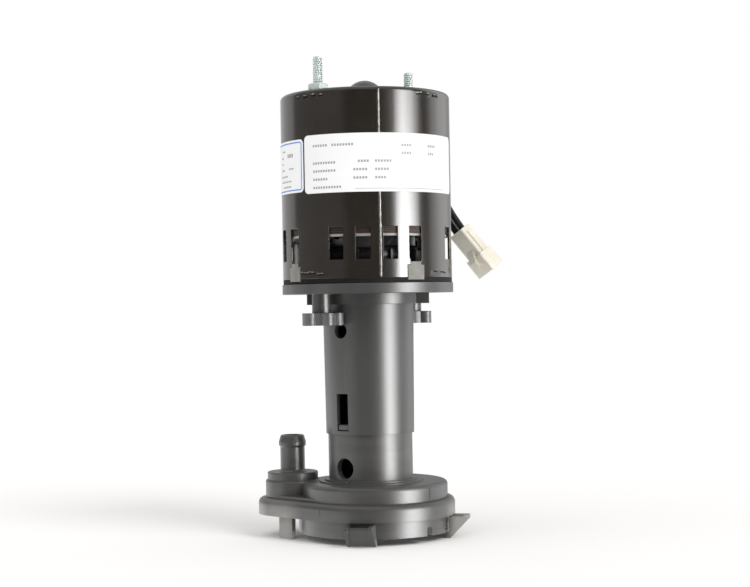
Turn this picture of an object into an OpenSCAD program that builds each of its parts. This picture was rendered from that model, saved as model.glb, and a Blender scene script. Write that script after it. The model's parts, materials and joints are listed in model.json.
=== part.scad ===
/* [Motor shell] */
// Outside radius of the motor shell
shell_r = 41.9; // [38:0.1:46]
// Sheet thickness of the motor shell
shell_wall = 0.9; // [0.7:0.1:1.4]
// Height of the motor shell with its rolled lip
shell_h = 90.5; // [88:0.5:110]
// Radius of the shell's rolled upper corner
roll_r = 2.2; // [1.6:0.1:3]
// Width of the lip that the roll turns over the upper cover
lip_w = 1.6; // [0.5:0.1:2]
// Width of one vent window
vent_w = 7.15; // [4:0.05:8.5]
// Height of one vent window
vent_h = 15.6; // [10:0.1:16.5]
// Height of the vent windows above the shell's lower edge
vent_rise = 8.7; // [8.7:0.1:10]
// Angle between neighbouring vent windows of one group
vent_pitch = 18; // [16:0.5:18.5]
// Width of a staked dent in the shell's edges
stake_w = 7.6; // [4:0.1:9]
// Height of a staked dent
stake_h = 2.2; // [1.5:0.1:3]
// Depth of a staked dent
stake_depth = 0.4; // [0.2:0.05:0.5]
// Width of the shell's lengthwise seam
seam_w = 0.7; // [0.4:0.1:1.2]
// Depth of the shell's lengthwise seam
seam_depth = 0.3; // [0.1:0.05:0.4]

/* [End covers] */
// Sheet thickness of both end covers
cover_t = 1.2; // [0.8:0.1:1.6]
// Height of the upper cover's turned-down rim
upper_rim_h = 7; // [4:0.5:9]
// Height of the lower cover's turned-up rim
lower_rim_h = 6.7; // [5:0.1:7]
// Outside radius of the domes over the bearings
dome_r = 10; // [9.6:0.1:11]
// Radius of the stiffening bead in the upper cover
bead_r = 22; // [18:0.5:24]
// Half thickness of the stiffening bead
bead_half = 1.4; // [0.8:0.1:2]
// Radius of the raised pads under the nuts
pad_r = 5.6; // [5.2:0.1:6]
// Height of the raised pads under the nuts
pad_h = 0.5; // [0.3:0.1:1]
// Width of a lower cover tab
tab_w = 9.1; // [6.5:0.1:9.5]
// Height of a lower cover tab
tab_h = 7; // [6.8:0.1:7.2]
// Width of the neck on a lower cover tab
tab_neck_w = 5.7; // [3:0.1:6]
// Height of the neck on a lower cover tab
tab_neck_h = 1.6; // [0.5:0.1:1.9]
// How far a tab stands out of the shell
tab_proud = 0.3; // [0.1:0.1:0.6]
// Thickness of the seat ring's flat part
gasket_t = 1.2; // [0.8:0.1:2]

/* [Bearings] */
// Radius of the motor shaft
shaft_r = 3.97; // [3.5:0.01:4.3]
// Radius of the ball shape on the outside of a bearing
bearing_r = 8; // [7.6:0.1:8.2]
// Length of a bearing along the shaft
bearing_l = 10; // [8:0.5:11]
// Thickness of a thrust washer
thrust_t = 1; // [0.5:0.1:1.2]
// Radius of a thrust washer
thrust_r = 6; // [5.5:0.1:6.2]

/* [Stator and rotor] */
// Height of the stator and rotor laminations
stack_h = 36; // [26:0.5:38]
// Height of the laminations above the shell's lower edge
stack_rise = 21; // [21:0.5:24]
// Width of the stator's outer ring
yoke_w = 5.9; // [5:0.1:6.5]
// Width of one stator pole
pole_w = 12; // [9:0.5:13]
// Radius of the stator's bore
stator_bore_r = 19; // [17:0.1:20]
// Thickness of a pole's shoe
shoe_t = 6; // [5:0.1:6.3]
// Angle that a pole's shoe covers
shoe_angle = 76; // [68:1:78]
// Air gap between rotor and stator
air_gap = 0.4; // [0.3:0.05:0.8]
// Thickness of the winding on a bobbin
coil_t = 5; // [3:0.1:5]
// Wall of a bobbin
bobbin_wall = 1; // [0.6:0.1:1.2]
// Thickness of the insulating ring on each face of the stator
insulator_t = 1.2; // [1:0.1:2.5]
// Section of a shading ring
shading_w = 1.6; // [1:0.1:1.8]
// Number of bars in the rotor's cage
cage_bars = 20; // [12:1:24]
// Radius of a bar in the rotor's cage
bar_r = 1.2; // [0.8:0.1:1.3]
// Height of a cage end ring
end_ring_h = 5; // [3:0.5:5]
// Radius of the cooling fan
fan_r = 28; // [20:0.5:28.5]
// Number of cooling fan blades
fan_blades = 10; // [6:1:12]
// Height of the cooling fan blades
fan_blade_h = 6.6; // [4:0.1:6.7]

/* [Studs and nuts] */
// Circle through the two mounting studs
stud_pcd = 63.5; // [62:0.5:64]
// Radius of a stud over its thread
stud_r = 2.41; // [2.3:0.01:2.45]
// Depth of a stud's rolled thread
thread_t = 0.3; // [0.25:0.01:0.35]
// How far the front stud stands above its nut
stud_out = 13.1; // [8:0.1:20]
// How much lower the rear stud ends
stud_drop = 2.3; // [0:0.1:4]
// Width of a nut across its flats
nut_af = 8.73; // [8:0.01:9.5]
// Height of a nut
nut_h = 3.2; // [2.5:0.1:4]
// Thickness of a lock washer
washer_t = 0.9; // [0.6:0.1:1.2]
// Height of a lobed nut
knob_h = 6; // [5:0.1:9]
// Radius of the circle round a lobed nut's lobes
knob_r = 10.6; // [9.5:0.1:10.6]
// Radius of one lobe
lobe_r = 3.1; // [2.5:0.1:3.2]
// Number of lobes on a lobed nut
knob_lobes = 5; // [4:1:6]

/* [Column] */
// How far the column's flange stands out past the motor shell
flange_proud = 0.45; // [0.1:0.05:1]
// Thickness of the column's flange
flange_t = 4.9; // [3.5:0.1:6]
// Radius of the hub under the flange
hub_r = 25.5; // [24:0.1:27]
// Height of the hub and its cross-bar
hub_h = 5.2; // [3.5:0.1:5.5]
// Length of the hub's cross-bar
bar_l = 60; // [52:0.5:64]
// Width of the hub's cross-bar
bar_w = 20; // [12:0.5:22]
// Radius of a stud boss
boss_r = 4.65; // [4.2:0.05:5]
// Height of a stud boss below the flange
boss_h = 9.2; // [8:0.1:12]
// Length of the column below its hub
sleeve_h = 63.6; // [55:0.1:90]
// Outside radius of the column at its top
sleeve_r = 22.5; // [22.3:0.05:23.5]
// How much the column narrows to its lower end
sleeve_draft = 0.7; // [0:0.05:0.8]
// Inside radius of the column
sleeve_bore_r = 19.7; // [19.5:0.05:20]
// Angle of the column's side holes, from the front
vent_side = -38; // [-45:1:-30]
// Radius of the round hole high in the column
high_hole_r = 3.7; // [2.5:0.1:4.5]
// Distance of that hole below the hub
high_hole_drop = 12.8; // [8:0.1:20]
// Width of the latch slot in the column
latch_w = 6.8; // [5:0.1:9]
// Height of the latch slot
latch_h = 18.1; // [14:0.1:22]
// Height of the latch slot above the column's lower edge
latch_rise = 2; // [1.5:0.1:2.2]

/* [Pump casing] */
// Sideways offset of the casing from the shaft
casing_x = 1.9; // [0:0.1:2.5]
// Length of the lower tube that shows between drum and column
stem_h = 23.9; // [20:0.1:35]
// Outside radius of the lower tube
stem_r = 20.84; // [20.6:0.02:21.2]
// Inside radius of the lower tube
stem_bore_r = 17.5; // [15:0.1:17.8]
// Height of the lower tube's neck inside the column
spigot_h = 5; // [4.6:0.1:7]
// Radius of the round hole in the lower tube
drain_r = 5.05; // [3:0.05:6]
// Height of that hole above the drum
drain_rise = 7.5; // [7.5:0.1:12]
// Radius of the drum
drum_r = 36; // [35:0.1:36.5]
// Height of the drum
drum_h = 8.8; // [8:0.1:12]
// Roof and floor thickness of the casing
casing_t = 2; // [1.5:0.1:2.4]
// Radius of the casing's ring
ring_r = 39.6; // [39.2:0.1:41]
// Height of the casing's ring
ring_h = 7.5; // [7:0.1:9]
// Radius of the rounded upper edge of the ring and the arm
ring_edge = 2.8; // [2:0.1:3.2]
// Radius of the chamber that the impeller turns in
chamber_r = 31; // [29:0.5:31.5]
// Radius of the skirt
skirt_r = 38; // [37:0.1:38.5]
// Wall of the skirt
skirt_wall = 2.6; // [1.6:0.1:2.8]
// Height of the skirt
skirt_h = 7.9; // [7.5:0.1:12]
// How far the feet reach below the skirt
foot_drop = 3.3; // [1:0.1:4]
// Width of a scoop foot at its top
scoop_w = 13.2; // [10:0.1:16]
// Reach of a scoop foot from the casing's axis
scoop_reach = 46.6; // [45:0.1:50]
// Reach of a scoop foot at its bottom
scoop_toe = 38.2; // [38:0.1:41]
// Wall of a scoop foot
scoop_wall = 1.8; // [1.2:0.1:2.2]
// Angle of the first scoop foot, from the front
scoop_angle = -10.6; // [-12:0.1:-5]
// Width of the leg under the arm
leg_w = 9; // [6:0.1:12]
// Thickness of the leg under the arm
leg_t = 2.5; // [1.5:0.1:3]
// Width of the slots in the skirt
skirt_slot_w = 3.3; // [2.5:0.1:4]

/* [Outlet] */
// Radius of the water way up through the lower collar
riser_r = 5.5; // [4.5:0.1:6.5]
// Sideways place of the outlet
outlet_x = -39.2; // [-41:0.1:-39]
// Place of the outlet to the rear
outlet_y = 8; // [6:0.5:10]
// Radius of the arm's round end
arm_r = 17.3; // [17:0.1:17.5]
// Height of the arm above the casing's ring
arm_rise = 0.8; // [0.4:0.1:1.5]
// Width of the water way in the arm
duct_w = 10; // [7:0.5:11]
// Height of the raised web between drum and outlet
web_h = 1.5; // [0.8:0.1:2]
// Radius of the outlet's lower collar
collar_low_r = 13.6; // [12.8:0.1:14]
// Height of the outlet's lower collar
collar_low_h = 8.6; // [6:0.1:10]
// Radius of the outlet's upper collar
collar_up_r = 12.6; // [11:0.1:12.7]
// Height of the outlet's upper collar
collar_up_h = 3.8; // [3:0.1:6]
// Radius of the outlet spigot's shank
spigot_r = 6.1; // [5.5:0.05:6.2]
// Radius of the outlet spigot's ridge
ridge_r = 6.75; // [6.5:0.05:7]
// Length of the outlet spigot's shank
shank_h = 13.2; // [8:0.1:16]
// Length of the ridge's straight wall
ridge_h = 1.6; // [1:0.1:3]
// Length of the ridge's taper
taper_h = 3.4; // [2:0.1:5]
// Radius of the outlet's bore
outlet_bore_r = 4.1; // [3:0.1:4.5]

/* [Inlet and impeller] */
// Radius of the inlet bore
inlet_r = 9; // [8:0.1:9.5]
// Thickness of the inlet cover
inlet_t = 2; // [1.5:0.1:2.2]
// Radius of the impeller
impeller_r = 25; // [20:0.5:26]
// Number of impeller vanes
impeller_vanes = 6; // [4:1:8]
// Thickness of an impeller vane
vane_t = 1.6; // [1:0.1:2]
// Radius of the slinger disc on the shaft
slinger_r = 13; // [10:0.5:15]
// Thickness of the slinger disc
slinger_t = 1.4; // [1:0.1:2]
// Radius of the slinger's hub
slinger_hub_r = 8; // [7:0.1:9]
// Height of the slinger's hub
slinger_hub_h = 5; // [4:0.1:6]

/* [Labels] */
// Height of the wide label
label_h = 27.8; // [20:0.1:28]
// Height of the wide label above the shell's lower edge
label_rise = 40.5; // [38:0.1:42]
// Height of the narrow label
side_label_h = 25.4; // [18:0.1:26]
// Height of the narrow label above the shell's lower edge
side_label_rise = 41.6; // [38:0.1:43]
// Thickness of both labels
label_t = 0.15; // [0.1:0.05:0.3]
// Corner radius of both labels
label_corner = 2.4; // [1:0.1:3]

/* [Lead and connector] */
// Diameter of one lead wire
lead_d = 3.6; // [3:0.1:3.8]
// Length of the connector
plug_l = 26; // [24:0.5:30]
// Width of the connector's body
plug_w = 11.6; // [11:0.1:13]
// Thickness of the connector's body
plug_t = 7; // [6:0.1:8]
// Distance between the connector's two ways
plug_pitch = 5.4; // [4.8:0.1:6]
// Length of the connector's mouth
mouth_l = 10.5; // [8:0.5:12]
// Wall of the connector's mouth
mouth_wall = 1.2; // [0.8:0.1:1.5]

/* [Hidden] */
$fn = 96;
eps = 0.01;
far = 200;

// Clearances
fit = 0.1;
run_fit = 0.03;
seat_gap = 0.05;
off_tangent = 0.03;

// Heights, from the nuts' upper faces down to the feet
nut_z = -nut_h;
washer_z = nut_z - washer_t;
plate_z = washer_z - pad_h;
shell_top = plate_z + shell_wall;
shell_z = shell_top - shell_h;
lower_plate_z = shell_z - cover_t;
motor_z = lower_plate_z - gasket_t;
flange_z = motor_z - flange_t;
hub_z = flange_z - hub_h;
sleeve_z = hub_z - sleeve_h;
stem_z = sleeve_z - stem_h;
drum_z = stem_z - drum_h;
ring_z = drum_z - ring_h;
skirt_z = ring_z - skirt_h;
foot_z = skirt_z - foot_drop;

// Motor
flange_r = shell_r + flange_proud;
shell_ri = shell_r - shell_wall;
cover_r = shell_ri - fit;
cover_corner = roll_r - shell_wall - fit;
vent_z = shell_z + vent_rise;
vent_groups = 4;
group_angle = 360 / vent_groups;
group_first = 6.5;
vents_in_group = 4;
vent_last = group_first + vent_pitch * (vents_in_group - 1) / 2;
stake_angle = 51.5;
seam_angle = 8.7;
label_from = -44;
label_to = 76;
side_label_from = -120;
side_label_to = -45.3;
tab_gap = 0.25;
upper_bearing_z = plate_z - cover_t;
lower_bearing_z = shell_z;
bearing_seat_r = bearing_r + seat_gap;
retainer_drop = 5.2;
retainer_r = 13.5;
retainer_t = 0.8;
retainer_bore_r = thrust_r + 0.8;
wick_r = 11;
wick_ri = bearing_seat_r + 0.95;
wick_t = 1.6;

// Stator and rotor
stack_z = shell_z + stack_rise;
stack_mid = stack_z + stack_h / 2;
yoke_ri = cover_r - yoke_w;
poles = 4;
shoe_r = stator_bore_r + shoe_t;
shading_start = 20;
shading_deep = 3.2;
shading_gap = 0.15;
rotor_r = stator_bore_r - air_gap;
bobbin_r = shoe_r + 0.3;
bobbin_out = yoke_ri - 2.6;
bobbin_flange = 0.9;
coil_gap = 0.2;
core_ri = shaft_r + 0.02;
bar_pitch_r = rotor_r - bar_r - 0.8;
cage_z = stack_z - end_ring_h;
cage_top = stack_z + stack_h + end_ring_h;
cage_ri = 11;
fan_z = lower_bearing_z + bearing_l / 2 + thrust_t + 2 * fit;
fan_disc_t = 1.2;
fan_hub_r = 7.5;
spacer_r = 6.2;
spacer_top = upper_bearing_z - bearing_l / 2 - thrust_t - 2 * fit;

// Studs
stud_angle = -45;
stud_seat_r = stud_pcd / 2;
stud_core_r = stud_r - thread_t;
stud_hole_r = stud_r + 0.15;
boss_z = flange_z - boss_h;
knob_z = boss_z - knob_h;
stud_z = knob_z + 0.8;
knob_turn = 51;
knob_valley = 0.3;

// Casing
casing_roof = stem_z - casing_t;
casing_floor = ring_z + casing_t / 2;
joint_z = drum_z - 3.4;
joint_r = drum_r - 1.5;
stem_spigot_r = sleeve_bore_r - fit;
shaft_hole_r = shaft_r + 1;
arm_top = drum_z + arm_rise;
web_inset = 0.6;
duct_roof = 1.6;
duct_h = drum_z - casing_floor - duct_roof;
duct_z = casing_floor;
outlet_socket_r = 9;
plug_depth = 2.2;
fitting_plug_r = 8;
fitting_plug_h = 4;
edge_f = 2;
foot_collar_w = 2.2;
foot_collar_h = 1.5;
foot_bead_w = 5;
foot_bead_h = 0.7;
ring_groove_h = 1.9;
ring_groove_rise = 0.8;
ring_groove_deep = 1.6;
stop_angles = [-35, 121];
stop_w = 5.6;
stop_t = 1.8;
stop_h = 1.6;
drum_mark_angle = 46.5;
drum_mark_w = 0.5;
drum_mark_deep = 0.25;
skirt_ri = skirt_r - skirt_wall;
inlet_z = skirt_z + 4;
eye_r = inlet_r + 2.2;
leg_reach = 35;
leg_side = -28.1;
notch_angle = 43;
slot_angle = 65.5;

// Outlet
collar_top = arm_top + collar_low_h + collar_up_h;
ridge_z = collar_top + shank_h;
spigot_top = ridge_z + ridge_h + taper_h;

// Impeller
impeller_z = casing_floor + 1;
impeller_top = casing_roof - 1.6;
impeller_plate_t = 1.6;
impeller_hub_r = 6.4;
clip_t = 0.8;
shaft_z = impeller_z - clip_t - 0.2;
shaft_top = upper_bearing_z + bearing_l / 2 + 1.2;
slinger_z = hub_z - 7;

// Lead, its grommet and its connector
lead_angle = 135;
lead_exit_z = stack_z + stack_h + 12.7;
grommet_r = 6.4;
grommet_hole_r = 5.4;
lead_gap = 0.6;
lead_sides = 8;
plug_back = [47.4, 26.4, -69.8];
plug_tilt = 52;
plug_roll = -35;
lead_route = [
    [28.8, 28.8, -24.5], [30.8, 30.8, -24.5], [33.8, 33.8, -25.6], [36, 36, -28.8],
    [36.8, 36.8, -33], [36.8, 36.6, -37.2], [36.8, 36, -41.4], [37, 35.2, -45.6],
    [37.4, 34, -49.6], [38.4, 32.6, -53.4], [39.8, 31.2, -57], [41.6, 29.8, -60.4],
    [43.4, 28.6, -63.6], [45.4, 27.4, -66.8], [47.4, 26.6, -69.8], [49.2, 26.4, -72.2]
];

// A place on a circle, its angle counted from the front towards +X
function on_circle(r, a) = [r * sin(a), -r * cos(a)];

// Moves a child out to a radius at an angle from the front
module at_angle(a, r = 0) {
    rotate([0, 0, a]) translate([0, -r, 0]) children();
}

// Puts a child at both studs
module at_studs(z = 0) {
    for (a = [stud_angle, stud_angle + 180]) at_angle(a, stud_seat_r) translate([0, 0, z]) children();
}

// A ring with a straight bore
module ring(ro, ri, h) {
    difference() {
        cylinder(r = ro, h = h);
        translate([0, 0, -eps]) cylinder(r = ri, h = h + 2 * eps);
    }
}

// A stretch of a ring between two angles from the front
module sector(a0, a1, ri, ro, z, h) {
    rotate([0, 0, a0 - 90])
        rotate_extrude(angle = a1 - a0)
            translate([ri, z]) square([ro - ri, h]);
}

// A box cut outwards through a wall
module radial_box(a, ri, ro, w, z, h) {
    at_angle(a) translate([-w / 2, -ro, z]) cube([w, ro - ri, h]);
}

// A disc whose upper edge is rounded
module rounded_disc(r, h, f) {
    rotate_extrude() {
        square([r - f, h]);
        square([r, h - f]);
        translate([r - f, h - f]) circle(f);
    }
}

// A rectangle with round corners
module round_rect(w, h, r) {
    square([w - 2 * r, h], center = true);
    square([w, h - 2 * r], center = true);
    for (x = [-1, 1], y = [-1, 1]) translate([x * (w / 2 - r), y * (h / 2 - r)]) circle(r);
}

// The half of a revolved outline that lies right of the axis
module right_half() {
    intersection() {
        children();
        translate([0, -2 * far]) square([far, 3 * far]);
    }
}

// Angles of all tabs and of all windows
tab_angles = [for (k = [0:vent_groups - 1]) vent_last + k * group_angle];
vent_angles = [
    for (k = [0:vent_groups - 1], n = [0:vents_in_group - 1])
        group_first + k * group_angle + (n - (vents_in_group - 1) / 2) * vent_pitch
];
stake_angles = [for (k = [0:vent_groups - 1]) stake_angle + k * group_angle];

// Shell: wall, rolled corner and lip
module shell_band() {
    rotate_extrude() {
        translate([shell_ri, shell_z]) square([shell_wall, shell_h - roll_r]);
        translate([shell_r - roll_r, shell_top - roll_r])
            intersection() {
                difference() {
                    circle(roll_r);
                    circle(roll_r - shell_wall);
                }
                square(roll_r + 1);
            }
        translate([shell_r - roll_r - lip_w, shell_top - shell_wall]) square([lip_w, shell_wall]);
    }
}

module motor_shell() {
    color("#1c1b1b") difference() {
        rotate([0, 0, group_first]) shell_band();
        for (a = vent_angles) radial_box(a, shell_ri - 2, shell_r + 2, vent_w, vent_z, vent_h);
        for (a = tab_angles) {
            radial_box(a, shell_ri - 2, shell_r + 2, tab_w + 2 * tab_gap, shell_z - 1, tab_h - cover_t + 1 + tab_gap);
            radial_box(a, shell_ri - 2, shell_r + 2, tab_neck_w + 2 * tab_gap, shell_z, vent_rise + 1);
        }
        for (a = stake_angles, z = [shell_z + 0.8, shell_top - roll_r - stake_h])
            radial_box(a, shell_r - stake_depth, shell_r + 2, stake_w, z, stake_h);
        radial_box(seam_angle, shell_r - seam_depth, shell_r + 2, seam_w, shell_z - 1, shell_h - roll_r);
        at_angle(lead_angle, shell_ri - 2) translate([0, 0, lead_exit_z])
            rotate([90, 0, 0]) cylinder(r = grommet_hole_r, h = shell_wall + 4);
    }
}

// Sheet cover with a dome over its bearing: up is +1 for a cover on top
module cover_outline(plate_bottom, dome_z, up, rim_h, corner) {
    rim_z = up > 0 ? plate_bottom + cover_t - rim_h : plate_bottom;
    difference() {
        union() {
            translate([0, plate_bottom]) square([cover_r - corner, cover_t]);
            translate([cover_r - cover_t, rim_z]) square([cover_t, rim_h - corner]);
            if (corner > 0) translate([cover_r - corner, plate_bottom + cover_t - corner]) intersection() {
                circle(corner);
                square(corner + 1);
            }
            intersection() {
                translate([0, dome_z]) circle(dome_r);
                translate([0, up > 0 ? dome_z : dome_z - dome_r]) square([dome_r, dome_r]);
            }
        }
        translate([0, dome_z]) circle(bearing_seat_r);
    }
}

module top_end_cover() {
    color("#232222") difference() {
        union() {
            rotate_extrude() right_half() {
                cover_outline(plate_z - cover_t, upper_bearing_z, 1, upper_rim_h, cover_corner);
                translate([bead_r, plate_z - cover_t / 2]) intersection() {
                    circle(bead_half);
                    translate([-bead_half, -cover_t / 2]) square(2 * bead_half);
                }
            }
            at_studs(plate_z - eps) cylinder(r = pad_r, h = pad_h + eps);
        }
        at_studs(plate_z - 2 * cover_t) cylinder(r = stud_hole_r, h = 5 * cover_t);
    }
}

module lower_end_cover() {
    tab_angle = 2 * asin(tab_w / 2 / shell_r);
    neck_angle = 2 * asin(tab_neck_w / 2 / shell_r);
    tab_out = shell_r + tab_proud;
    neck_inset = 0.15;
    color("#b9b7b0") difference() {
        union() {
            rotate_extrude() right_half()
                cover_outline(lower_plate_z, lower_bearing_z, -1, lower_rim_h, 0);
            for (a = tab_angles) {
                sector(a - tab_angle / 2, a + tab_angle / 2, cover_r - cover_t, tab_out, lower_plate_z, tab_h);
                sector(a - neck_angle / 2, a + neck_angle / 2, cover_r - cover_t + neck_inset, tab_out - neck_inset,
                    lower_plate_z + tab_h - eps, tab_neck_h + eps);
            }
        }
        at_studs(lower_plate_z - 1) cylinder(r = stud_hole_r, h = cover_t + 2);
        translate([0, 0, lower_bearing_z - 2 * dome_r]) cylinder(r = shaft_hole_r, h = 2 * dome_r);
    }
}

// Rubber ring between the lower cover and the column's flange
module seat_ring() {
    color("#111111") difference() {
        union() {
            translate([0, 0, motor_z]) ring(cover_r + seat_gap, 26, gasket_t);
            translate([0, 0, motor_z]) ring(shell_r - 0.1, cover_r + seat_gap - eps, gasket_t + cover_t - fit);
        }
        for (a = tab_angles) radial_box(a, cover_r - 1, shell_r + 1, tab_w + 2 * tab_gap, lower_plate_z - eps, cover_t + 1);
        at_studs(motor_z - 1) cylinder(r = stud_hole_r, h = gasket_t + 2);
    }
}

// Lamination outline: ring, poles and pole shoes with a slot for each shading ring
module stator_outline() {
    difference() {
        circle(cover_r);
        circle(yoke_ri);
    }
    for (k = [0:poles - 1]) rotate(k * 90) difference() {
        union() {
            translate([-pole_w / 2, -yoke_ri - 1]) square([pole_w, yoke_ri + 1 - stator_bore_r - 1]);
            intersection() {
                difference() {
                    circle(shoe_r);
                    circle(stator_bore_r);
                }
                polygon([
                    [0, 0], far * on_circle(1, -shoe_angle / 2),
                    far * [0, -2], far * on_circle(1, shoe_angle / 2)
                ]);
            }
        }
        circle(stator_bore_r);
        rotate(shading_start) translate([-shading_w / 2 - shading_gap, -stator_bore_r - shading_deep - shading_gap])
            square([shading_w + 2 * shading_gap, shading_deep + 1]);
    }
}

module stator_core() {
    color("#4a3a32") translate([0, 0, stack_z]) linear_extrude(stack_h) stator_outline();
}

module stator_insulators() {
    color("#c9c7c0") for (z = [stack_z - insulator_t, stack_z + stack_h])
        translate([0, 0, z]) ring(cover_r - 0.6, yoke_ri + 0.3, insulator_t);
}

// Rounded frame round a pole, standing on its side so that it wraps the pole
module pole_frame(inner_w, inner_h, wall, r0, r1, corner) {
    translate([0, -r0, stack_mid]) rotate([90, 0, 0]) linear_extrude(r1 - r0) difference() {
        round_rect(inner_w + 2 * wall, inner_h + 2 * wall, corner + wall);
        round_rect(inner_w, inner_h, corner);
    }
}

module coil_bobbins() {
    inner_w = pole_w + 2 * coil_gap;
    inner_h = stack_h + 2 * coil_gap;
    side = coil_t + bobbin_wall;
    color("#e4dcc6") for (k = [0:poles - 1]) rotate([0, 0, k * 90]) {
        pole_frame(inner_w, inner_h, bobbin_wall, bobbin_r, bobbin_out, 0.5);
        pole_frame(inner_w, inner_h, side, bobbin_r, bobbin_r + bobbin_flange, 0.5);
        pole_frame(inner_w, inner_h, side, bobbin_out - bobbin_flange, bobbin_out, 0.5);
    }
}

module stator_coils() {
    inner_w = pole_w + 2 * coil_gap + 2 * bobbin_wall + 2 * seat_gap;
    inner_h = stack_h + 2 * coil_gap + 2 * bobbin_wall + 2 * seat_gap;
    color("#a4501f") for (k = [0:poles - 1]) rotate([0, 0, k * 90])
        pole_frame(inner_w, inner_h, coil_t - 0.4, bobbin_r + bobbin_flange + seat_gap,
            bobbin_out - bobbin_flange - seat_gap, 1.5);
}

// Copper loop round the tip of each pole shoe
module shading_rings() {
    in_r = stator_bore_r + 0.1;
    out_r = stator_bore_r + shading_deep;
    slot_a = shading_start - asin(shading_w / 2 / stator_bore_r);
    tip_a = shoe_angle / 2 + 0.5;
    bar_a = 2 * asin(shading_w / 2 / out_r);
    color("#b87333") for (k = [0:poles - 1]) rotate([0, 0, k * 90]) difference() {
        sector(slot_a + 0.6, tip_a + bar_a, in_r, out_r, stack_z - shading_w, stack_h + 2 * shading_w);
        sector(slot_a + bar_a, tip_a, in_r - 1, out_r + 1, stack_z - seat_gap, stack_h + 2 * seat_gap);
    }
}

// Ball-shaped bronze bearing
module bearing(z) {
    rotate_extrude() intersection() {
        translate([0, z]) circle(bearing_r);
        translate([shaft_r + run_fit, z - bearing_l / 2]) square([bearing_r, bearing_l]);
    }
}

module upper_bearing() {
    color("#a8762f") bearing(upper_bearing_z);
}

module lower_bearing() {
    color("#a8762f") bearing(lower_bearing_z);
}

// Spring cone that holds a bearing in its dome: up is +1 for the upper one
module retainer(z, up) {
    rim_a = z - up * seat_gap;
    rim_b = z - up * retainer_t;
    tip = z - up * retainer_drop;
    rotate_extrude() polygon([
        [retainer_r, rim_a], [retainer_r, rim_b], [retainer_r - 0.7, rim_b],
        [retainer_bore_r, tip - up * 0.6], [retainer_bore_r, tip],
        [retainer_r - 0.9, rim_a - up * 0.3], [retainer_r - 0.9, rim_a]
    ]);
}

module bearing_retainers() {
    color("#9c9c98") {
        retainer(upper_bearing_z, 1);
        retainer(lower_bearing_z, -1);
    }
}

module oil_wicks() {
    color("#d8cfb4") {
        translate([0, 0, upper_bearing_z - seat_gap - wick_t]) ring(wick_r, wick_ri, wick_t);
        translate([0, 0, lower_bearing_z + seat_gap]) ring(wick_r, wick_ri, wick_t);
    }
}

// Studs: a plain core up to the nut's upper face, and the thread that stands out of it
module mounting_studs() {
    point = 0.5;
    color("#b9c2c0") for (k = [0, 1]) at_angle(stud_angle + k * 180, stud_seat_r) {
        tip = stud_out - k * stud_drop;
        translate([0, 0, stud_z]) cylinder(r = stud_core_r, h = eps - stud_z);
        cylinder(r = stud_r, h = tip - point);
        translate([0, 0, tip - point - eps]) cylinder(r1 = stud_r, r2 = stud_r - point, h = point + eps);
    }
}

module top_nuts() {
    color("#b4bdbc") at_studs(nut_z) difference() {
        intersection() {
            cylinder(r = nut_af / sqrt(3), h = nut_h, $fn = 6);
            rotate_extrude() {
                square([nut_af / 2 + 0.1, nut_h]);
                translate([0, 0.35]) square([nut_af, nut_h - 0.7]);
            }
        }
        translate([0, 0, -1]) cylinder(r = stud_core_r + seat_gap, h = nut_h + 2);
    }
}

// Split washers: the gap is cut on a slant
module lock_washers() {
    color("#9ca3a3") at_studs(washer_z) difference() {
        ring(nut_af / 2 - 0.2, stud_r + 0.15, washer_t - eps);
        rotate([0, 0, 200]) translate([0, 0, washer_t / 2]) rotate([30, 0, 0])
            translate([0, -0.25, -2]) cube([nut_af, 0.5, 4]);
    }
}

// Hand nuts with round lobes on the studs' lower ends
module lobed_nuts() {
    color("#3b3c3d") at_studs(knob_z) difference() {
        union() {
            cylinder(r = knob_r - lobe_r - knob_valley, h = knob_h);
            for (k = [0:knob_lobes - 1]) rotate([0, 0, knob_turn + k * 360 / knob_lobes])
                translate([knob_r - lobe_r, 0, 0]) {
                    cylinder(r = lobe_r, h = knob_h);
                    translate([-lobe_r, -lobe_r, 0]) cube([lobe_r, 2 * lobe_r, knob_h]);
                }
        }
        translate([0, 0, stud_z - knob_z - seat_gap]) cylinder(r = stud_core_r + seat_gap, h = knob_h);
    }
}

// Column: flange, hub with its cross-bar, stud bosses and the long sleeve
module pump_column() {
    slot_z = sleeve_z + latch_rise;
    color("#3a3b3c") difference() {
        union() {
            rotate_extrude() {
                translate([0, flange_z]) square([flange_r, flange_t - fit]);
                translate([0, hub_z]) square([hub_r, hub_h]);
                polygon([
                    [0, sleeve_z], [sleeve_r - sleeve_draft, sleeve_z],
                    [sleeve_r, hub_z], [0, hub_z]
                ]);
            }
            translate([-bar_l / 2, -bar_w / 2, hub_z]) cube([bar_l, bar_w, hub_h]);
            at_studs(boss_z) cylinder(r = boss_r, h = boss_h + eps);
        }
        translate([0, 0, sleeve_z - 1]) cylinder(r = sleeve_bore_r, h = motor_z - sleeve_z + 2);
        at_studs(boss_z - 1) cylinder(r = stud_hole_r, h = boss_h + flange_t + 2);
        at_angle(vent_side) translate([0, 0, hub_z - high_hole_drop])
            rotate([90, 0, 0]) cylinder(r = high_hole_r, h = far / 2);
        radial_box(vent_side, sleeve_bore_r - 2, sleeve_r + 2, latch_w, slot_z, latch_h);
    }
}

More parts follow.
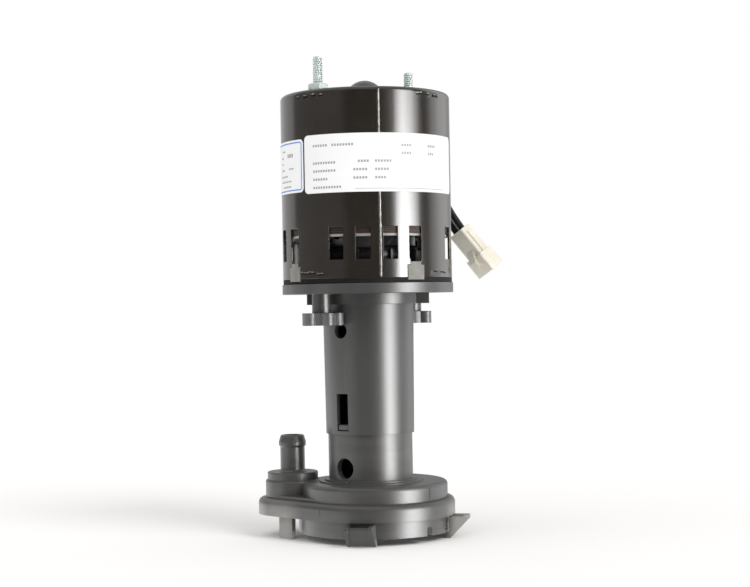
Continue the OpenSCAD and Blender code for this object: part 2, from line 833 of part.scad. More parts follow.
// Upper half of the casing: lower tube with its neck, drum and joint ring
module upper_casing() {
    latch_z = sleeve_z + latch_rise + 0.5;
    color("#3d3e3f") difference() {
        union() {
            rotate_extrude() {
                translate([0, stem_z - eps]) square([stem_r, stem_h + eps]);
                translate([0, stem_z]) square([stem_spigot_r, stem_h + spigot_h]);
                translate([0, stem_z - eps]) square([stem_r + foot_collar_w, foot_collar_h]);
                translate([0, stem_z - eps]) square([stem_r + foot_bead_w, foot_bead_h]);
            }
            sector(vent_side - 8, vent_side + 8, stem_spigot_r - 1, sleeve_bore_r + 1.6, latch_z, spigot_h - latch_rise - 0.7);
            translate([casing_x, 0, drum_z]) {
                rounded_disc(drum_r, drum_h, edge_f);
                translate([0, 0, joint_z - drum_z]) cylinder(r = joint_r, h = drum_z - joint_z + eps);
            }
            translate([outlet_x, outlet_y, arm_top]) {
                rounded_disc(collar_low_r, collar_low_h, 1);
                translate([0, 0, -plug_depth]) cylinder(r = outlet_socket_r, h = plug_depth + eps);
            }
            translate([casing_x, 0, arm_top]) rotate([0, 0, arm_dir])
                linear_extrude(web_h) arm_sides(drum_r - web_inset, collar_low_r - web_inset);
            for (a = stop_angles) at_angle(a, stem_r + foot_collar_w + stop_t)
                translate([-stop_w / 2, 0, stem_z - eps]) cube([stop_w, stop_t, stop_h]);
        }
        translate([0, 0, stem_z]) cylinder(r = stem_bore_r, h = stem_h + spigot_h + 1);
        translate([0, 0, drum_z]) cylinder(r = shaft_hole_r, h = far / 2);
        translate([casing_x, 0, joint_z - 1]) cylinder(r = chamber_r, h = casing_roof - joint_z + 1);
        at_angle(vent_side) translate([0, 0, stem_z + drain_rise])
            rotate([90, 0, 0]) cylinder(r = drain_r, h = far / 2);
        translate([casing_x, 0, joint_z + ring_groove_rise]) difference() {
            cylinder(r = joint_r + 1, h = ring_groove_h);
            cylinder(r = joint_r - ring_groove_deep, h = ring_groove_h);
        }
        translate([casing_x, 0, 0])
            radial_box(drum_mark_angle, drum_r - drum_mark_deep, drum_r + 2, drum_mark_w, drum_z - 1, drum_h - edge_f + 1);
        // Riser to the outlet and the seat of the outlet fitting
        translate([outlet_x, outlet_y, ring_z]) cylinder(r = riser_r, h = far / 2);
        translate([outlet_x, outlet_y, arm_top + collar_low_h - fitting_plug_h - fit])
            cylinder(r = fitting_plug_r + fit, h = far / 2);
        // Water way into the arm
        translate([casing_x, 0, 0]) duct_box(joint_z - 1, drum_z - joint_z + 1 - duct_roof);
    }
}

// Direction of the arm, seen from the casing's centre
arm_vec = [outlet_x - casing_x, outlet_y];
arm_len = norm(arm_vec);
arm_dir = atan2(arm_vec[1], arm_vec[0]);
// Angle between the arm and the line out to where a flank touches the ring
arm_lean = acos((ring_r - arm_r) / arm_len);

// A straight box along the arm, from inside the chamber to the outlet
module duct_box(z, h) {
    rotate([0, 0, arm_dir]) translate([chamber_r - 6, -duct_w / 2, z]) cube([arm_len - chamber_r + 6, duct_w, h]);
}

// Straight tangents between a circle round the casing's axis and one round the outlet, +X along the arm
module arm_sides(r0, r1) {
    lean = acos((r0 - r1) / arm_len);
    polygon([
        r0 * [cos(lean), sin(lean)], [arm_len, 0] + r1 * [cos(lean), sin(lean)],
        [arm_len, 0] + r1 * [cos(lean), -sin(lean)], r0 * [cos(lean), -sin(lean)]
    ]);
}

// The outline that blends the ring with the arm's round end
module arm_outline(inset) {
    translate([casing_x, 0]) rotate(arm_dir) {
        circle(ring_r - inset);
        translate([arm_len, 0]) circle(arm_r - inset);
        arm_sides(ring_r - inset, arm_r - inset);
    }
}

// The arm with rounded upper edges along its end and its straight sides
module arm_body() {
    run = arm_len * sin(arm_lean);
    flank = arm_top - ring_edge;
    translate([0, 0, ring_z]) linear_extrude(flank - ring_z) arm_outline(0);
    translate([0, 0, ring_z]) linear_extrude(arm_top - ring_z) arm_outline(ring_edge);
    translate([casing_x, 0, 0]) rotate([0, 0, arm_dir]) {
        translate([0, 0, ring_z]) rounded_disc(ring_r, arm_top - ring_z, ring_edge);
        translate([arm_len, 0, ring_z]) rounded_disc(arm_r, arm_top - ring_z, ring_edge);
        for (s = [-1, 1])
            translate([(ring_r - ring_edge) * cos(arm_lean), s * (ring_r - ring_edge) * sin(arm_lean), flank])
                rotate([0, 0, s * (arm_lean - 90)]) rotate([0, 90, 0]) cylinder(r = ring_edge - off_tangent, h = run);
    }
}

// Scoop foot: two side walls and a sloped wall between them, open at the top
module scoop(a) {
    top = ring_z - foot_z - 0.8;
    lip = top - 1.7;
    root = skirt_ri + 0.4;
    slope = (scoop_reach - scoop_toe) / lip;
    back = 1.2;
    lean = 2.6;
    side = [[root, 0], [scoop_toe, 0], [scoop_reach, lip], [scoop_reach, top], [root, top]];
    ramp = [
        [root, 0], [scoop_toe - back, 0], [scoop_reach - back, lip], [scoop_reach - back, top - 0.6],
        [scoop_reach - back - scoop_wall, top - 0.6], [scoop_reach - back - scoop_wall, lip],
        [root, max(scoop_wall, (root - scoop_toe + back + scoop_wall + 1) / slope)]
    ];
    translate([casing_x, 0, foot_z]) rotate([0, 0, a - 90]) {
        for (s = [-1, 1]) translate([0, s * (scoop_w - scoop_wall) / 2, 0]) translate([0, 0, top]) rotate([s * lean, 0, 0])
            translate([0, 0, -top]) rotate([90, 0, 0]) translate([0, 0, -scoop_wall / 2])
                linear_extrude(scoop_wall) polygon(side);
        rotate([90, 0, 0]) translate([0, 0, -scoop_w / 2 + 0.8]) linear_extrude(scoop_w - 1.6) polygon(ramp);
    }
}

// Lower half of the casing: ring, arm, skirt, scoop feet and the leg under the arm
module lower_casing() {
    color("#363738") difference() {
        union() {
            difference() {
                arm_body();
                translate([casing_x, 0, drum_z]) cylinder(r = drum_r + fit, h = far / 2);
            }
            translate([casing_x, 0, skirt_z]) cylinder(r = skirt_r, h = skirt_h + eps);
            for (k = [0, 1, 2]) scoop(scoop_angle + k * 90);
            translate([casing_x, 0, foot_z]) rotate([0, 0, arm_dir + arm_lean])
                translate([leg_reach - leg_t, leg_side - leg_w / 2, 0]) cube([leg_t, leg_w, ring_z - foot_z + eps]);
        }
        // Recess under the floor, with the room for the inlet cover
        translate([casing_x, 0, foot_z - 1]) cylinder(r = skirt_ri, h = casing_floor - casing_t - foot_z + 1);
        // Chamber and the seat of the joint
        translate([casing_x, 0, casing_floor]) cylinder(r = chamber_r, h = far / 2);
        translate([casing_x, 0, joint_z - seat_gap]) cylinder(r = joint_r + fit, h = far / 2);
        translate([0, 0, foot_z]) cylinder(r = eye_r + fit, h = far / 2);
        // Water way through the arm and up into the outlet
        translate([casing_x, 0, 0]) duct_box(duct_z, duct_h);
        translate([outlet_x, outlet_y, duct_z]) cylinder(r = duct_w / 2, h = far / 2);
        translate([outlet_x, outlet_y, arm_top - plug_depth - seat_gap]) cylinder(r = outlet_socket_r + fit, h = far / 2);
        for (k = [0, 180]) translate([casing_x, 0, 0]) {
            radial_box(notch_angle + k, skirt_ri - 1, skirt_r + 1, skirt_slot_w, skirt_z - 1, 5.2);
            radial_box(slot_angle + k, skirt_ri - 1, skirt_r + 1, skirt_slot_w, skirt_z + 1.6, 5.1);
        }
    }
}

module casing_o_ring() {
    cord_r = 0.78;
    color("#151515") translate([casing_x, 0, joint_z + ring_groove_rise + ring_groove_h / 2]) rotate_extrude()
        translate([joint_r - ring_groove_deep + seat_gap + cord_r, 0]) circle(cord_r);
}

// Inlet cover: disc with the inlet neck and two hooks for the skirt's slots
module inlet_cover() {
    disc_r = skirt_ri - 0.3;
    neck_top = casing_floor - 0.1;
    rib_h = casing_floor - casing_t - inlet_z - inlet_t - fit;
    color("#404142") difference() {
        union() {
            translate([casing_x, 0, inlet_z]) cylinder(r = disc_r, h = inlet_t);
            translate([0, 0, inlet_z]) cylinder(r = eye_r, h = neck_top - inlet_z);
            translate([casing_x, 0, 0]) for (k = [0, 180])
                radial_box(slot_angle + k, disc_r - 2, skirt_r - 0.6, skirt_slot_w - 0.5, skirt_z + 2, 4.4);
            for (k = [0:5]) rotate([0, 0, k * 60 + 20]) translate([eye_r - 1, -0.8, inlet_z + inlet_t - eps])
                cube([12, 1.6, rib_h + eps]);
        }
        translate([0, 0, foot_z]) cylinder(r = inlet_r, h = far / 2);
    }
}

// Outlet: plug, collar and the hose spigot with its ridge
module outlet_fitting() {
    collar_z = arm_top + collar_low_h;
    color("#333435") translate([outlet_x, outlet_y, 0]) difference() {
        union() {
            translate([0, 0, collar_z - fitting_plug_h]) cylinder(r = fitting_plug_r, h = fitting_plug_h + eps);
            translate([0, 0, collar_z]) rounded_disc(collar_up_r, collar_up_h, 0.6);
            rotate_extrude() polygon([
                [0, collar_top - 1], [spigot_r + 1, collar_top - 1], [spigot_r + 1, collar_top],
                [spigot_r, collar_top + 1], [spigot_r, ridge_z - 1], [ridge_r, ridge_z],
                [ridge_r, ridge_z + ridge_h], [spigot_r - 0.2, spigot_top - 0.5],
                [spigot_r - 0.6, spigot_top], [0, spigot_top]
            ]);
        }
        translate([0, 0, ring_z]) cylinder(r = outlet_bore_r, h = far);
    }
}

// A label bent round the shell, with round corners
module bent_label(a0, a1, z, h) {
    out_r = shell_r + seat_gap + label_t;
    corner_a = label_corner / shell_r * 180 / PI;
    difference() {
        sector(a0, a1, shell_r + seat_gap, out_r, z, h);
        for (s = [0, 1], t = [0, 1]) {
            a = s == 0 ? a0 + corner_a : a1 - corner_a;
            zc = t == 0 ? z + label_corner : z + h - label_corner;
            at_angle(a) translate([0, 0, zc]) difference() {
                translate([s == 0 ? -2 * label_corner : 0, -out_r - 1, t == 0 ? -2 * label_corner : 0])
                    cube([2 * label_corner, 4, 2 * label_corner]);
                translate([0, -out_r + 4, 0]) rotate([90, 0, 0]) cylinder(r = label_corner + off_tangent, h = 8);
            }
        }
    }
}

module data_label() {
    color("#f2f2ef") bent_label(label_from, label_to, shell_z + label_rise, label_h);
}

module side_label() {
    color("#eef2fa") bent_label(side_label_from, side_label_to, shell_z + side_label_rise, side_label_h);
}

// Grommet with a groove for the shell's wall
module lead_grommet() {
    color("#151515") at_angle(lead_angle, shell_ri - 1.6) translate([0, 0, lead_exit_z])
        rotate([90, 0, 0]) difference() {
            union() {
                cylinder(r = grommet_hole_r - seat_gap, h = 1.6 + shell_wall + 1.4);
                cylinder(r = grommet_r, h = 1);
                translate([0, 0, 1.6 + shell_wall + 0.35]) cylinder(r = grommet_r, h = 1.2);
            }
            for (s = [-1, 1]) translate([s * (lead_d + lead_gap) / 2, 0, -1]) cylinder(r = lead_d / 2 + fit, h = 8);
        }
}

// Keeps the lead at the height of its hole in the shell
module at_lead() {
    translate([0, 0, lead_exit_z - lead_route[0][2]]) children();
}

// Rings of points along a route, each ring square to the route
function unit(v) = v / norm(v);
function route_dir(p, i) = unit(p[min(i + 1, len(p) - 1)] - p[max(i - 1, 0)]);
function ring_at(p, i, r, n) =
    let (d = route_dir(p, i), u = unit(cross(d, [0.2, 1, 0.1])), v = cross(d, u))
    [for (k = [0:n - 1]) p[i] + r * (cos(360 * k / n) * u + sin(360 * k / n) * v)];

// A tube that follows a route, closed at both ends
module tube_along(p, r, n) {
    m = len(p);
    points = [for (i = [0:m - 1]) each ring_at(p, i, r, n)];
    sides = [
        for (i = [0:m - 2], k = [0:n - 1])
            [i * n + k, i * n + (k + 1) % n, (i + 1) * n + (k + 1) % n, (i + 1) * n + k]
    ];
    start = [for (k = [0:n - 1]) n - 1 - k];
    end = [for (k = [0:n - 1]) (m - 1) * n + k];
    polyhedron(points, concat([start], sides, [end]));
}

// The way from the pair's middle to one wire: along the shell at the grommet, along the ways at the plug
plug_across = [
    sin(plug_roll) * sin(plug_tilt), cos(plug_roll), sin(plug_roll) * cos(plug_tilt)
];
grommet_across = [cos(lead_angle), sin(lead_angle), 0];
function wire_side(i, t) =
    let (d = route_dir(lead_route, i), m = (1 - t) * grommet_across + t * plug_across)
    unit(m - (m * d) * d);

// The route of one wire, set off sideways from the pair's route
function wire_route(s) = [
    for (i = [0:len(lead_route) - 1])
        let (t = i / (len(lead_route) - 1), off = (1 - t) * (lead_d + lead_gap) / 2 + t * plug_pitch / 2)
        lead_route[i] + s * off * wire_side(i, t)
];

module lead_wire_a() {
    color("#181818") at_lead() tube_along(wire_route(1), lead_d / 2, lead_sides);
}

module lead_wire_b() {
    color("#222222") at_lead() tube_along(wire_route(-1), lead_d / 2, lead_sides);
}

// Puts a child in the connector's own frame: +Z runs from its back to its mouth
module at_plug() {
    at_lead() translate(plug_back) rotate([0, 90 + plug_tilt, 0]) rotate([0, 0, plug_roll]) children();
}

// Two-way connector: body with a shroud round its mouth, a latch ledge and side ribs
module connector_housing() {
    mouth_z = plug_l - mouth_l;
    mouth_w = plug_w + 2 * mouth_wall;
    mouth_t = plug_t + 2 * mouth_wall;
    ledge = 3.2;
    color("#e9e3d2") at_plug() difference() {
        union() {
            linear_extrude(mouth_z + eps) round_rect(plug_t, plug_w, 1);
            translate([0, 0, mouth_z]) linear_extrude(mouth_l) round_rect(mouth_t, mouth_w, 1);
            translate([plug_t / 2 - eps, -2.4, mouth_z - 4]) rotate([90, 0, 0]) translate([0, 0, -4.8])
                linear_extrude(4.8) polygon([[0, 0], [ledge, 6], [ledge, 9], [0, 9]]);
            for (s = [-1, 1]) translate([-1, s * plug_w / 2 - 0.6, 3]) cube([2, 1.2, mouth_z - 3]);
        }
        for (s = [-1, 1]) translate([0, s * plug_pitch / 2, -1]) cylinder(r = lead_d / 2 + 0.3, h = 7);
        for (s = [-1, 1]) translate([0, s * plug_pitch / 2, 4]) cylinder(r = 1.7, h = mouth_z);
        translate([0, 0, mouth_z + 1.5]) linear_extrude(mouth_l) round_rect(plug_t - 0.2, plug_w - 0.2, 0.6);
    }
}

module connector_pins() {
    color("#c8c8c4") at_plug() for (s = [-1, 1]) translate([0, s * plug_pitch / 2, 6 + fit]) {
        cylinder(r = 1.65, h = plug_l - mouth_l - 6);
        cylinder(r = 1.05, h = plug_l - 6 - 2.5);
        translate([0, 0, plug_l - 8.5 - eps]) cylinder(r1 = 1.05, r2 = 0.5, h = 0.8);
    }
}

module motor_shaft() {
    color("#c4c5c4") {
        translate([0, 0, shaft_z + 0.5]) cylinder(r = shaft_r, h = shaft_top - shaft_z - 1);
        translate([0, 0, shaft_top - 0.5 - eps]) cylinder(r1 = shaft_r, r2 = shaft_r - 0.5, h = 0.5);
        translate([0, 0, shaft_z]) cylinder(r1 = shaft_r - 0.5, r2 = shaft_r, h = 0.5 + eps);
    }
}

module rotor_core() {
    color("#7b7c7d") translate([0, 0, stack_z]) linear_extrude(stack_h) difference() {
        circle(rotor_r);
        circle(core_ri);
        for (k = [0:cage_bars - 1]) rotate(k * 360 / cage_bars) translate([bar_pitch_r, 0]) circle(bar_r + seat_gap);
    }
}

module rotor_cage() {
    color("#b6b8ba") {
        for (z = [cage_z, stack_z + stack_h]) translate([0, 0, z]) ring(rotor_r - 0.3, cage_ri, end_ring_h);
        for (k = [0:cage_bars - 1]) rotate([0, 0, k * 360 / cage_bars]) translate([bar_pitch_r, 0, cage_z])
            cylinder(r = bar_r, h = cage_top - cage_z);
    }
}

module cooling_fan() {
    hub_top = cage_z - seat_gap;
    color("#2b2b2c") difference() {
        union() {
            translate([0, 0, fan_z]) cylinder(r = fan_r, h = fan_disc_t);
            translate([0, 0, fan_z]) cylinder(r = fan_hub_r, h = hub_top - fan_z);
            translate([0, 0, hub_top - 1]) cylinder(r = cage_ri + 2, h = 1);
            for (k = [0:fan_blades - 1]) rotate([0, 0, k * 360 / fan_blades])
                translate([fan_r * 0.42, -0.6, fan_z + fan_disc_t - eps]) rotate([0, 0, 14])
                    cube([fan_r * 0.56, 1.2, fan_blade_h]);
        }
        translate([0, 0, fan_z - 1]) cylinder(r = core_ri, h = hub_top - fan_z + 2);
    }
}

module shaft_spacer() {
    z0 = stack_z + stack_h + seat_gap;
    color("#8d8e8f") translate([0, 0, z0]) ring(spacer_r, core_ri, spacer_top - z0);
}

module thrust_washers() {
    color("#d9d2bd") {
        translate([0, 0, lower_bearing_z + bearing_l / 2 + fit]) ring(thrust_r, core_ri, thrust_t);
        translate([0, 0, spacer_top + fit]) ring(thrust_r, core_ri, thrust_t);
    }
}

// Rubber disc that throws creeping water off the shaft
module water_slinger() {
    color("#1a1a1a") translate([0, 0, slinger_z]) difference() {
        union() {
            cylinder(r = slinger_r, h = slinger_t);
            cylinder(r1 = slinger_hub_r, r2 = 0.8 * slinger_hub_r, h = slinger_hub_h);
        }
        translate([0, 0, -1]) cylinder(r = core_ri, h = slinger_hub_h + 2);
    }
}

// Impeller: back plate, hub and backward-curved vanes
module impeller() {
    vane_arc = impeller_r * 0.72;
    vane_h = impeller_top - impeller_plate_t - impeller_z;
    color("#4b4c4d") difference() {
        union() {
            translate([0, 0, impeller_top - impeller_plate_t]) cylinder(r = impeller_r, h = impeller_plate_t);
            translate([0, 0, impeller_z]) cylinder(r = impeller_hub_r, h = impeller_top - impeller_z + 1);
            translate([0, 0, impeller_z]) linear_extrude(vane_h + eps) for (k = [0:impeller_vanes - 1])
                rotate(k * 360 / impeller_vanes) intersection() {
                    translate([vane_arc * 0.55, vane_arc * 0.84]) difference() {
                        circle(vane_arc + vane_t / 2);
                        circle(vane_arc - vane_t / 2);
                    }
                    circle(impeller_r - 0.2);
                    translate([0, -impeller_r]) square([impeller_r, 1.4 * impeller_r]);
                }
        }
        translate([0, 0, impeller_z - 1]) cylinder(r = core_ri, h = impeller_top - impeller_z + 3);
    }
}

module impeller_clip() {
    color("#a9aaa8") translate([0, 0, impeller_z - clip_t - seat_gap]) difference() {
        ring(impeller_hub_r - 0.6, core_ri, clip_t);
        translate([0, -1.6, -1]) cube([impeller_hub_r, 3.2, clip_t + 2]);
    }
}

motor_shell();
top_end_cover();
lower_end_cover();
seat_ring();
stator_core();
stator_insulators();
coil_bobbins();
stator_coils();
shading_rings();
upper_bearing();
lower_bearing();
bearing_retainers();
oil_wicks();
mounting_studs();
top_nuts();
lock_washers();
lobed_nuts();
pump_column();
upper_casing();
lower_casing();
casing_o_ring();
inlet_cover();
outlet_fitting();
data_label();
side_label();
lead_grommet();
lead_wire_a();
lead_wire_b();
connector_housing();
connector_pins();
motor_shaft();
rotor_core();
rotor_cage();
cooling_fan();
shaft_spacer();
thrust_washers();
water_slinger();
impeller();
impeller_clip();
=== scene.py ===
import json
import math

import bpy
from mathutils import Matrix, Vector

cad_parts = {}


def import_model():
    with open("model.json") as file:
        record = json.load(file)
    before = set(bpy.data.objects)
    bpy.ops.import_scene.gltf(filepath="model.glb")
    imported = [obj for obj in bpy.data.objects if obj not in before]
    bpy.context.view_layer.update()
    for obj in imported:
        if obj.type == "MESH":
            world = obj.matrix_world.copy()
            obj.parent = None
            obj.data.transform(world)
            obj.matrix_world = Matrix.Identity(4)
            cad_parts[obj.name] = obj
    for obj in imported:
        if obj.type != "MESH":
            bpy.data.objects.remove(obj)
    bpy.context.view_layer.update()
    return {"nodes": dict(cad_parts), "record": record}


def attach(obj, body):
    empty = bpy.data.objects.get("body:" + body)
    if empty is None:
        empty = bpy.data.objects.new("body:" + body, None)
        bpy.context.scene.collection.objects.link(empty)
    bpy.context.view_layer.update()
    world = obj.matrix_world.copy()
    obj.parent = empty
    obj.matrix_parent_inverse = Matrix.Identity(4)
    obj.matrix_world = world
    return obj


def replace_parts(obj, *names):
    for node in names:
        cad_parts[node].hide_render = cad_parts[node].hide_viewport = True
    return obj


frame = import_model()
bpy.context.scene.view_settings.view_transform = "Standard"

# Lengths are in millimetres and angles in degrees, unless a comment says otherwise
MM = 0.001

# Sizes that the dressing is set from, as in part.scad: Z 0 is the top of the motor's nuts
SHELL_R = 41.9
STUD_PCD = 63.5
STUD_R = 2.41
STUD_FOOT = -115.85
NUT_AF = 8.73
NUT_H = 3.2
FOOT_Z = -221.7


def on_circle(r, a):
    """A place on a circle, its angle in degrees counted from the front (-Y) towards +X."""
    t = math.radians(a)
    return r * math.sin(t), -r * math.cos(t)


def add(name, data):
    """A new object, linked to the scene."""
    obj = bpy.data.objects.new(name, data)
    bpy.context.scene.collection.objects.link(obj)
    return obj


# ---- camera: the photograph's viewing angle, level, from the front
IMAGE_W = 750
IMAGE_H = 587
SENSOR = 36
FOCAL_PX = 1610
CAM_DISTANCE = 800
CAM_CLIP = 10
HORIZON = -106.2
AXIS_PX = (368.1, 303.0)
ROLL = -0.985

camera = add("camera", bpy.data.cameras.new("camera"))
camera.data.sensor_fit = "HORIZONTAL"
camera.data.sensor_width = SENSOR
camera.data.lens = FOCAL_PX / IMAGE_W * SENSOR
camera.data.shift_x = (IMAGE_W / 2 - AXIS_PX[0]) / IMAGE_W
camera.data.shift_y = (AXIS_PX[1] - IMAGE_H / 2) / IMAGE_W
camera.data.clip_start = CAM_CLIP * MM
camera.matrix_world = (Matrix.Translation((0, -CAM_DISTANCE * MM, HORIZON * MM))
                       @ Matrix.Rotation(math.radians(90), 4, "X")
                       @ Matrix.Rotation(math.radians(ROLL), 4, "Z"))
bpy.context.scene.camera = camera


# ---- node helpers
# The factor, the two inputs and the output of a Mix node, by its data type
MIX_SOCKETS = {"FLOAT": (0, 2, 3, 0), "RGBA": (0, 6, 7, 2)}
BEVEL_SAMPLES = 6


class Tree:
    """A node tree with short names for what the recipes below use."""

    def __init__(self, owner):
        owner.use_nodes = True
        self.tree = owner.node_tree
        self.tree.nodes.clear()

    def new(self, kind, **props):
        node = self.tree.nodes.new(kind)
        for key, value in props.items():
            setattr(node, key, value)
        return node

    def feed(self, socket, value):
        """Give a socket a number or a colour, or link another node's output to it."""
        if isinstance(value, tuple):
            socket.default_value = (*value, 1)
        elif isinstance(value, (int, float)):
            socket.default_value = value
        else:
            self.tree.links.new(value, socket)

    def ramp(self, fac, stops):
        """A colour ramp through stops of (position, level or colour)."""
        node = self.new("ShaderNodeValToRGB")
        elements = node.color_ramp.elements
        while len(elements) < len(stops):
            elements.new(0.5)
        for element, (position, value) in zip(elements, stops):
            element.position = position
            element.color = (*value, 1) if isinstance(value, tuple) else (value, value, value, 1)
        self.feed(node.inputs[0], fac)
        return node.outputs[0]

    def span(self, fac, low, high, out_low=0, out_high=1):
        """Map the range low to high onto out_low to out_high, and hold it there beyond."""
        node = self.new("ShaderNodeMapRange")
        for socket, value in zip(node.inputs, (fac, low, high, out_low, out_high)):
            self.feed(socket, value)
        return node.outputs[0]

    def math(self, kind, a, b=0):
        """One operation on two numbers or outputs."""
        node = self.new("ShaderNodeMath", operation=kind)
        self.feed(node.inputs[0], a)
        self.feed(node.inputs[1], b)
        return node.outputs[0]

    def mix(self, fac, a, b, kind="RGBA"):
        """Go from a to b as the factor goes from 0 to 1."""
        node = self.new("ShaderNodeMix", data_type=kind)
        *inputs, output = MIX_SOCKETS[kind]
        for i, value in zip(inputs, (fac, a, b)):
            self.feed(node.inputs[i], value)
        return node.outputs[output]


class Finish(Tree):
    """A material: one Principled shader, fed by textures in the object's own coordinates.

    Texture scales are per metre, and bump distances and bevels are in millimetres.
    """

    def __init__(self, name, **sockets):
        self.mat = bpy.data.materials.new(name)
        super().__init__(self.mat)
        out = self.new("ShaderNodeOutputMaterial")
        self.bsdf = self.new("ShaderNodeBsdfPrincipled")
        self.feed(out.inputs[0], self.bsdf.outputs[0])
        self.set(**sockets)
        self.coords = self.new("ShaderNodeTexCoord").outputs["Object"]

    def set(self, **sockets):
        """Feed the shader's sockets, named as in base_color, and give the material back."""
        for key, value in sockets.items():
            socket = key.replace("_", " ").title().replace("Ior", "IOR")
            self.feed(self.bsdf.inputs[socket], value)
        return self.mat

    def mapped(self, scale):
        node = self.new("ShaderNodeMapping")
        node.inputs["Scale"].default_value = scale
        self.feed(node.inputs["Vector"], self.coords)
        return node.outputs[0]

    def noise(self, scale, detail=3, rough=0.55, stretch=None):
        node = self.new("ShaderNodeTexNoise")
        for socket, value in (("Scale", scale), ("Detail", detail), ("Roughness", rough)):
            self.feed(node.inputs[socket], value)
        self.feed(node.inputs["Vector"], self.mapped(stretch) if stretch else self.coords)
        return node.outputs["Fac"]

    def wave(self, scale, distortion=0, **props):
        node = self.new("ShaderNodeTexWave", **props)
        for socket, value in (("Scale", scale), ("Distortion", distortion), ("Detail", 1)):
            self.feed(node.inputs[socket], value)
        self.feed(node.inputs["Vector"], self.coords)
        return node.outputs["Fac"]

    def bump(self, *layers, edge=None):
        """Stacked bump layers of (height, distance, strength), over edges rounded by a bevel."""
        normal = None
        if edge:
            node = self.new("ShaderNodeBevel", samples=BEVEL_SAMPLES)
            self.feed(node.inputs["Radius"], edge * MM)
            normal = node.outputs[0]
        for height, distance, strength in layers:
            node = self.new("ShaderNodeBump")
            self.feed(node.inputs["Distance"], distance * MM)
            self.feed(node.inputs["Strength"], strength)
            self.feed(node.inputs["Height"], height)
            if normal:
                self.feed(node.inputs["Normal"], normal)
            normal = node.outputs[0]
        self.feed(self.bsdf.inputs["Normal"], normal)


# ---- recipes for the materials
DUST = (0.35, 0.34, 0.33)
# The casing's painted light, a pale tone standing in for light and reflections on its two low
# ends: the places between which it comes on, by X with its weights at the two ends and by Z
# for both
PAINTED_LIGHT_LEFT = (-34, -42, 0, 0.64)
PAINTED_LIGHT_RIGHT = (36, 41, 0, 1)
PAINTED_LIGHT_BELOW = (-201, -212)


def enamel(name, dark, light, rough, streaks):
    """Black enamel on drawn sheet: faint streaks along the height, orange peel and dust."""
    n = Finish(name, coat_weight=0.35, coat_roughness=0.06, specular_ior_level=0.5)
    along = n.noise(1, 4, 0.6, stretch=(420, 420, 14))
    cloud = n.noise(45, 4)
    dust = n.ramp(n.noise(1500, 2, 0.7), [(0.66, 0.0), (0.74, 1.0)])
    n.bump((n.noise(1, 2, 0.5, stretch=(95, 95, 5)), 1.0, streaks),
           (n.noise(620, 2), 0.05, 0.14), (along, 0.03, 0.2), edge=0.35)
    tone = n.mix(n.span(cloud, 0.35, 0.7), dark, light)
    return n.set(base_color=n.mix(n.math("MULTIPLY", dust, 0.05), tone, DUST),
                 roughness=n.math("ADD", n.span(along, 0.3, 0.7, rough - 0.03, rough + 0.05),
                                  n.math("MULTIPLY", dust, 0.15)))


def moulded(name, dark, light, rough, grain=0.3, flow=(30, 30, 160), film=None):
    """Satin moulded plastic: fine grain, soft flow marks and a few pale scuffs.

    The casing also has painted light: a pale tone low down at its two ends, standing in for
    light and reflections that fall there.
    """
    n = Finish(name, specular_ior_level=0.5)
    marks = n.noise(1, 5, 0.6, stretch=flow)
    grains = n.noise(2600, 3, 0.6)
    scuffs = n.ramp(n.noise(1, 6, 0.75, stretch=(260, 260, 520)), [(0.64, 0.0), (0.78, 1.0)])
    n.bump((marks, 0.25, 0.12), (grains, 0.035, grain), (scuffs, 0.02, 0.2), edge=0.3)
    tone = n.mix(n.span(marks, 0.3, 0.7), dark, light)
    tired = tuple(min(1, 0.05 + 1.9 * c) for c in light)
    # Painted light: a pale tone over the casing's two low ends, where light and reflections fall
    if film:
        axes = n.new("ShaderNodeSeparateXYZ")
        n.feed(axes.inputs[0], n.coords)
        left, right = (n.span(axes.outputs["X"], near * MM, far * MM, *levels)
                       for near, far, *levels in (PAINTED_LIGHT_LEFT, PAINTED_LIGHT_RIGHT))
        low = n.span(axes.outputs["Z"], *(z * MM for z in PAINTED_LIGHT_BELOW))
        uneven = n.math("MULTIPLY", low, n.span(marks, 0.2, 0.7, 0.6, 1))
        tone = n.mix(n.math("MULTIPLY", n.math("ADD", left, right), uneven), tone, film)
    return n.set(base_color=n.mix(n.math("MULTIPLY", scuffs, 0.35), tone, tired),
                 roughness=n.math("ADD", n.span(grains, 0.3, 0.7, rough - 0.05, rough + 0.06),
                                  n.math("MULTIPLY", scuffs, 0.12)))


def metal(name, dark, light, rough, stretch=(60, 60, 60), brush=0.2, spots=None, share=1.0):
    """Metal with a directional finish, cloudy plating and optional spots of (weight, colour).

    The share is how metallic it is: weathered zinc and dull steel mirror little.
    """
    n = Finish(name, metallic=share)
    cloud = n.noise(220, 5, 0.6)
    lines = n.noise(1, 4, 0.65, stretch=stretch)
    n.bump((lines, 0.03, brush), (n.noise(1400, 3), 0.02, 0.15), edge=0.12)
    tone = n.mix(n.span(cloud, 0.3, 0.7), dark, light)
    if spots:
        weight, colour = spots
        places = n.ramp(n.noise(420, 6, 0.7), [(0.6, 0.0), (0.7, 1.0)])
        tone = n.mix(n.math("MULTIPLY", places, weight), tone, colour)
    return n.set(base_color=tone, roughness=n.span(n.math("ADD", lines, cloud), 0.6, 1.4,
                                                   rough - 0.08, rough + 0.12))


def soft(name, dark, light, rough, scale, bump, **sockets):
    """Rubber, felt, fibre, label stock and nylon: a fine texture over a slightly uneven tone."""
    n = Finish(name, **sockets)
    fine = n.noise(scale, 4, 0.65)
    cloud = n.noise(90, 3)
    n.bump((fine, 0.06, bump), edge=0.2)
    return n.set(base_color=n.mix(n.span(n.math("ADD", fine, cloud), 0.7, 1.3), dark, light),
                 roughness=n.span(fine, 0.3, 0.7, rough - 0.06, rough + 0.08))


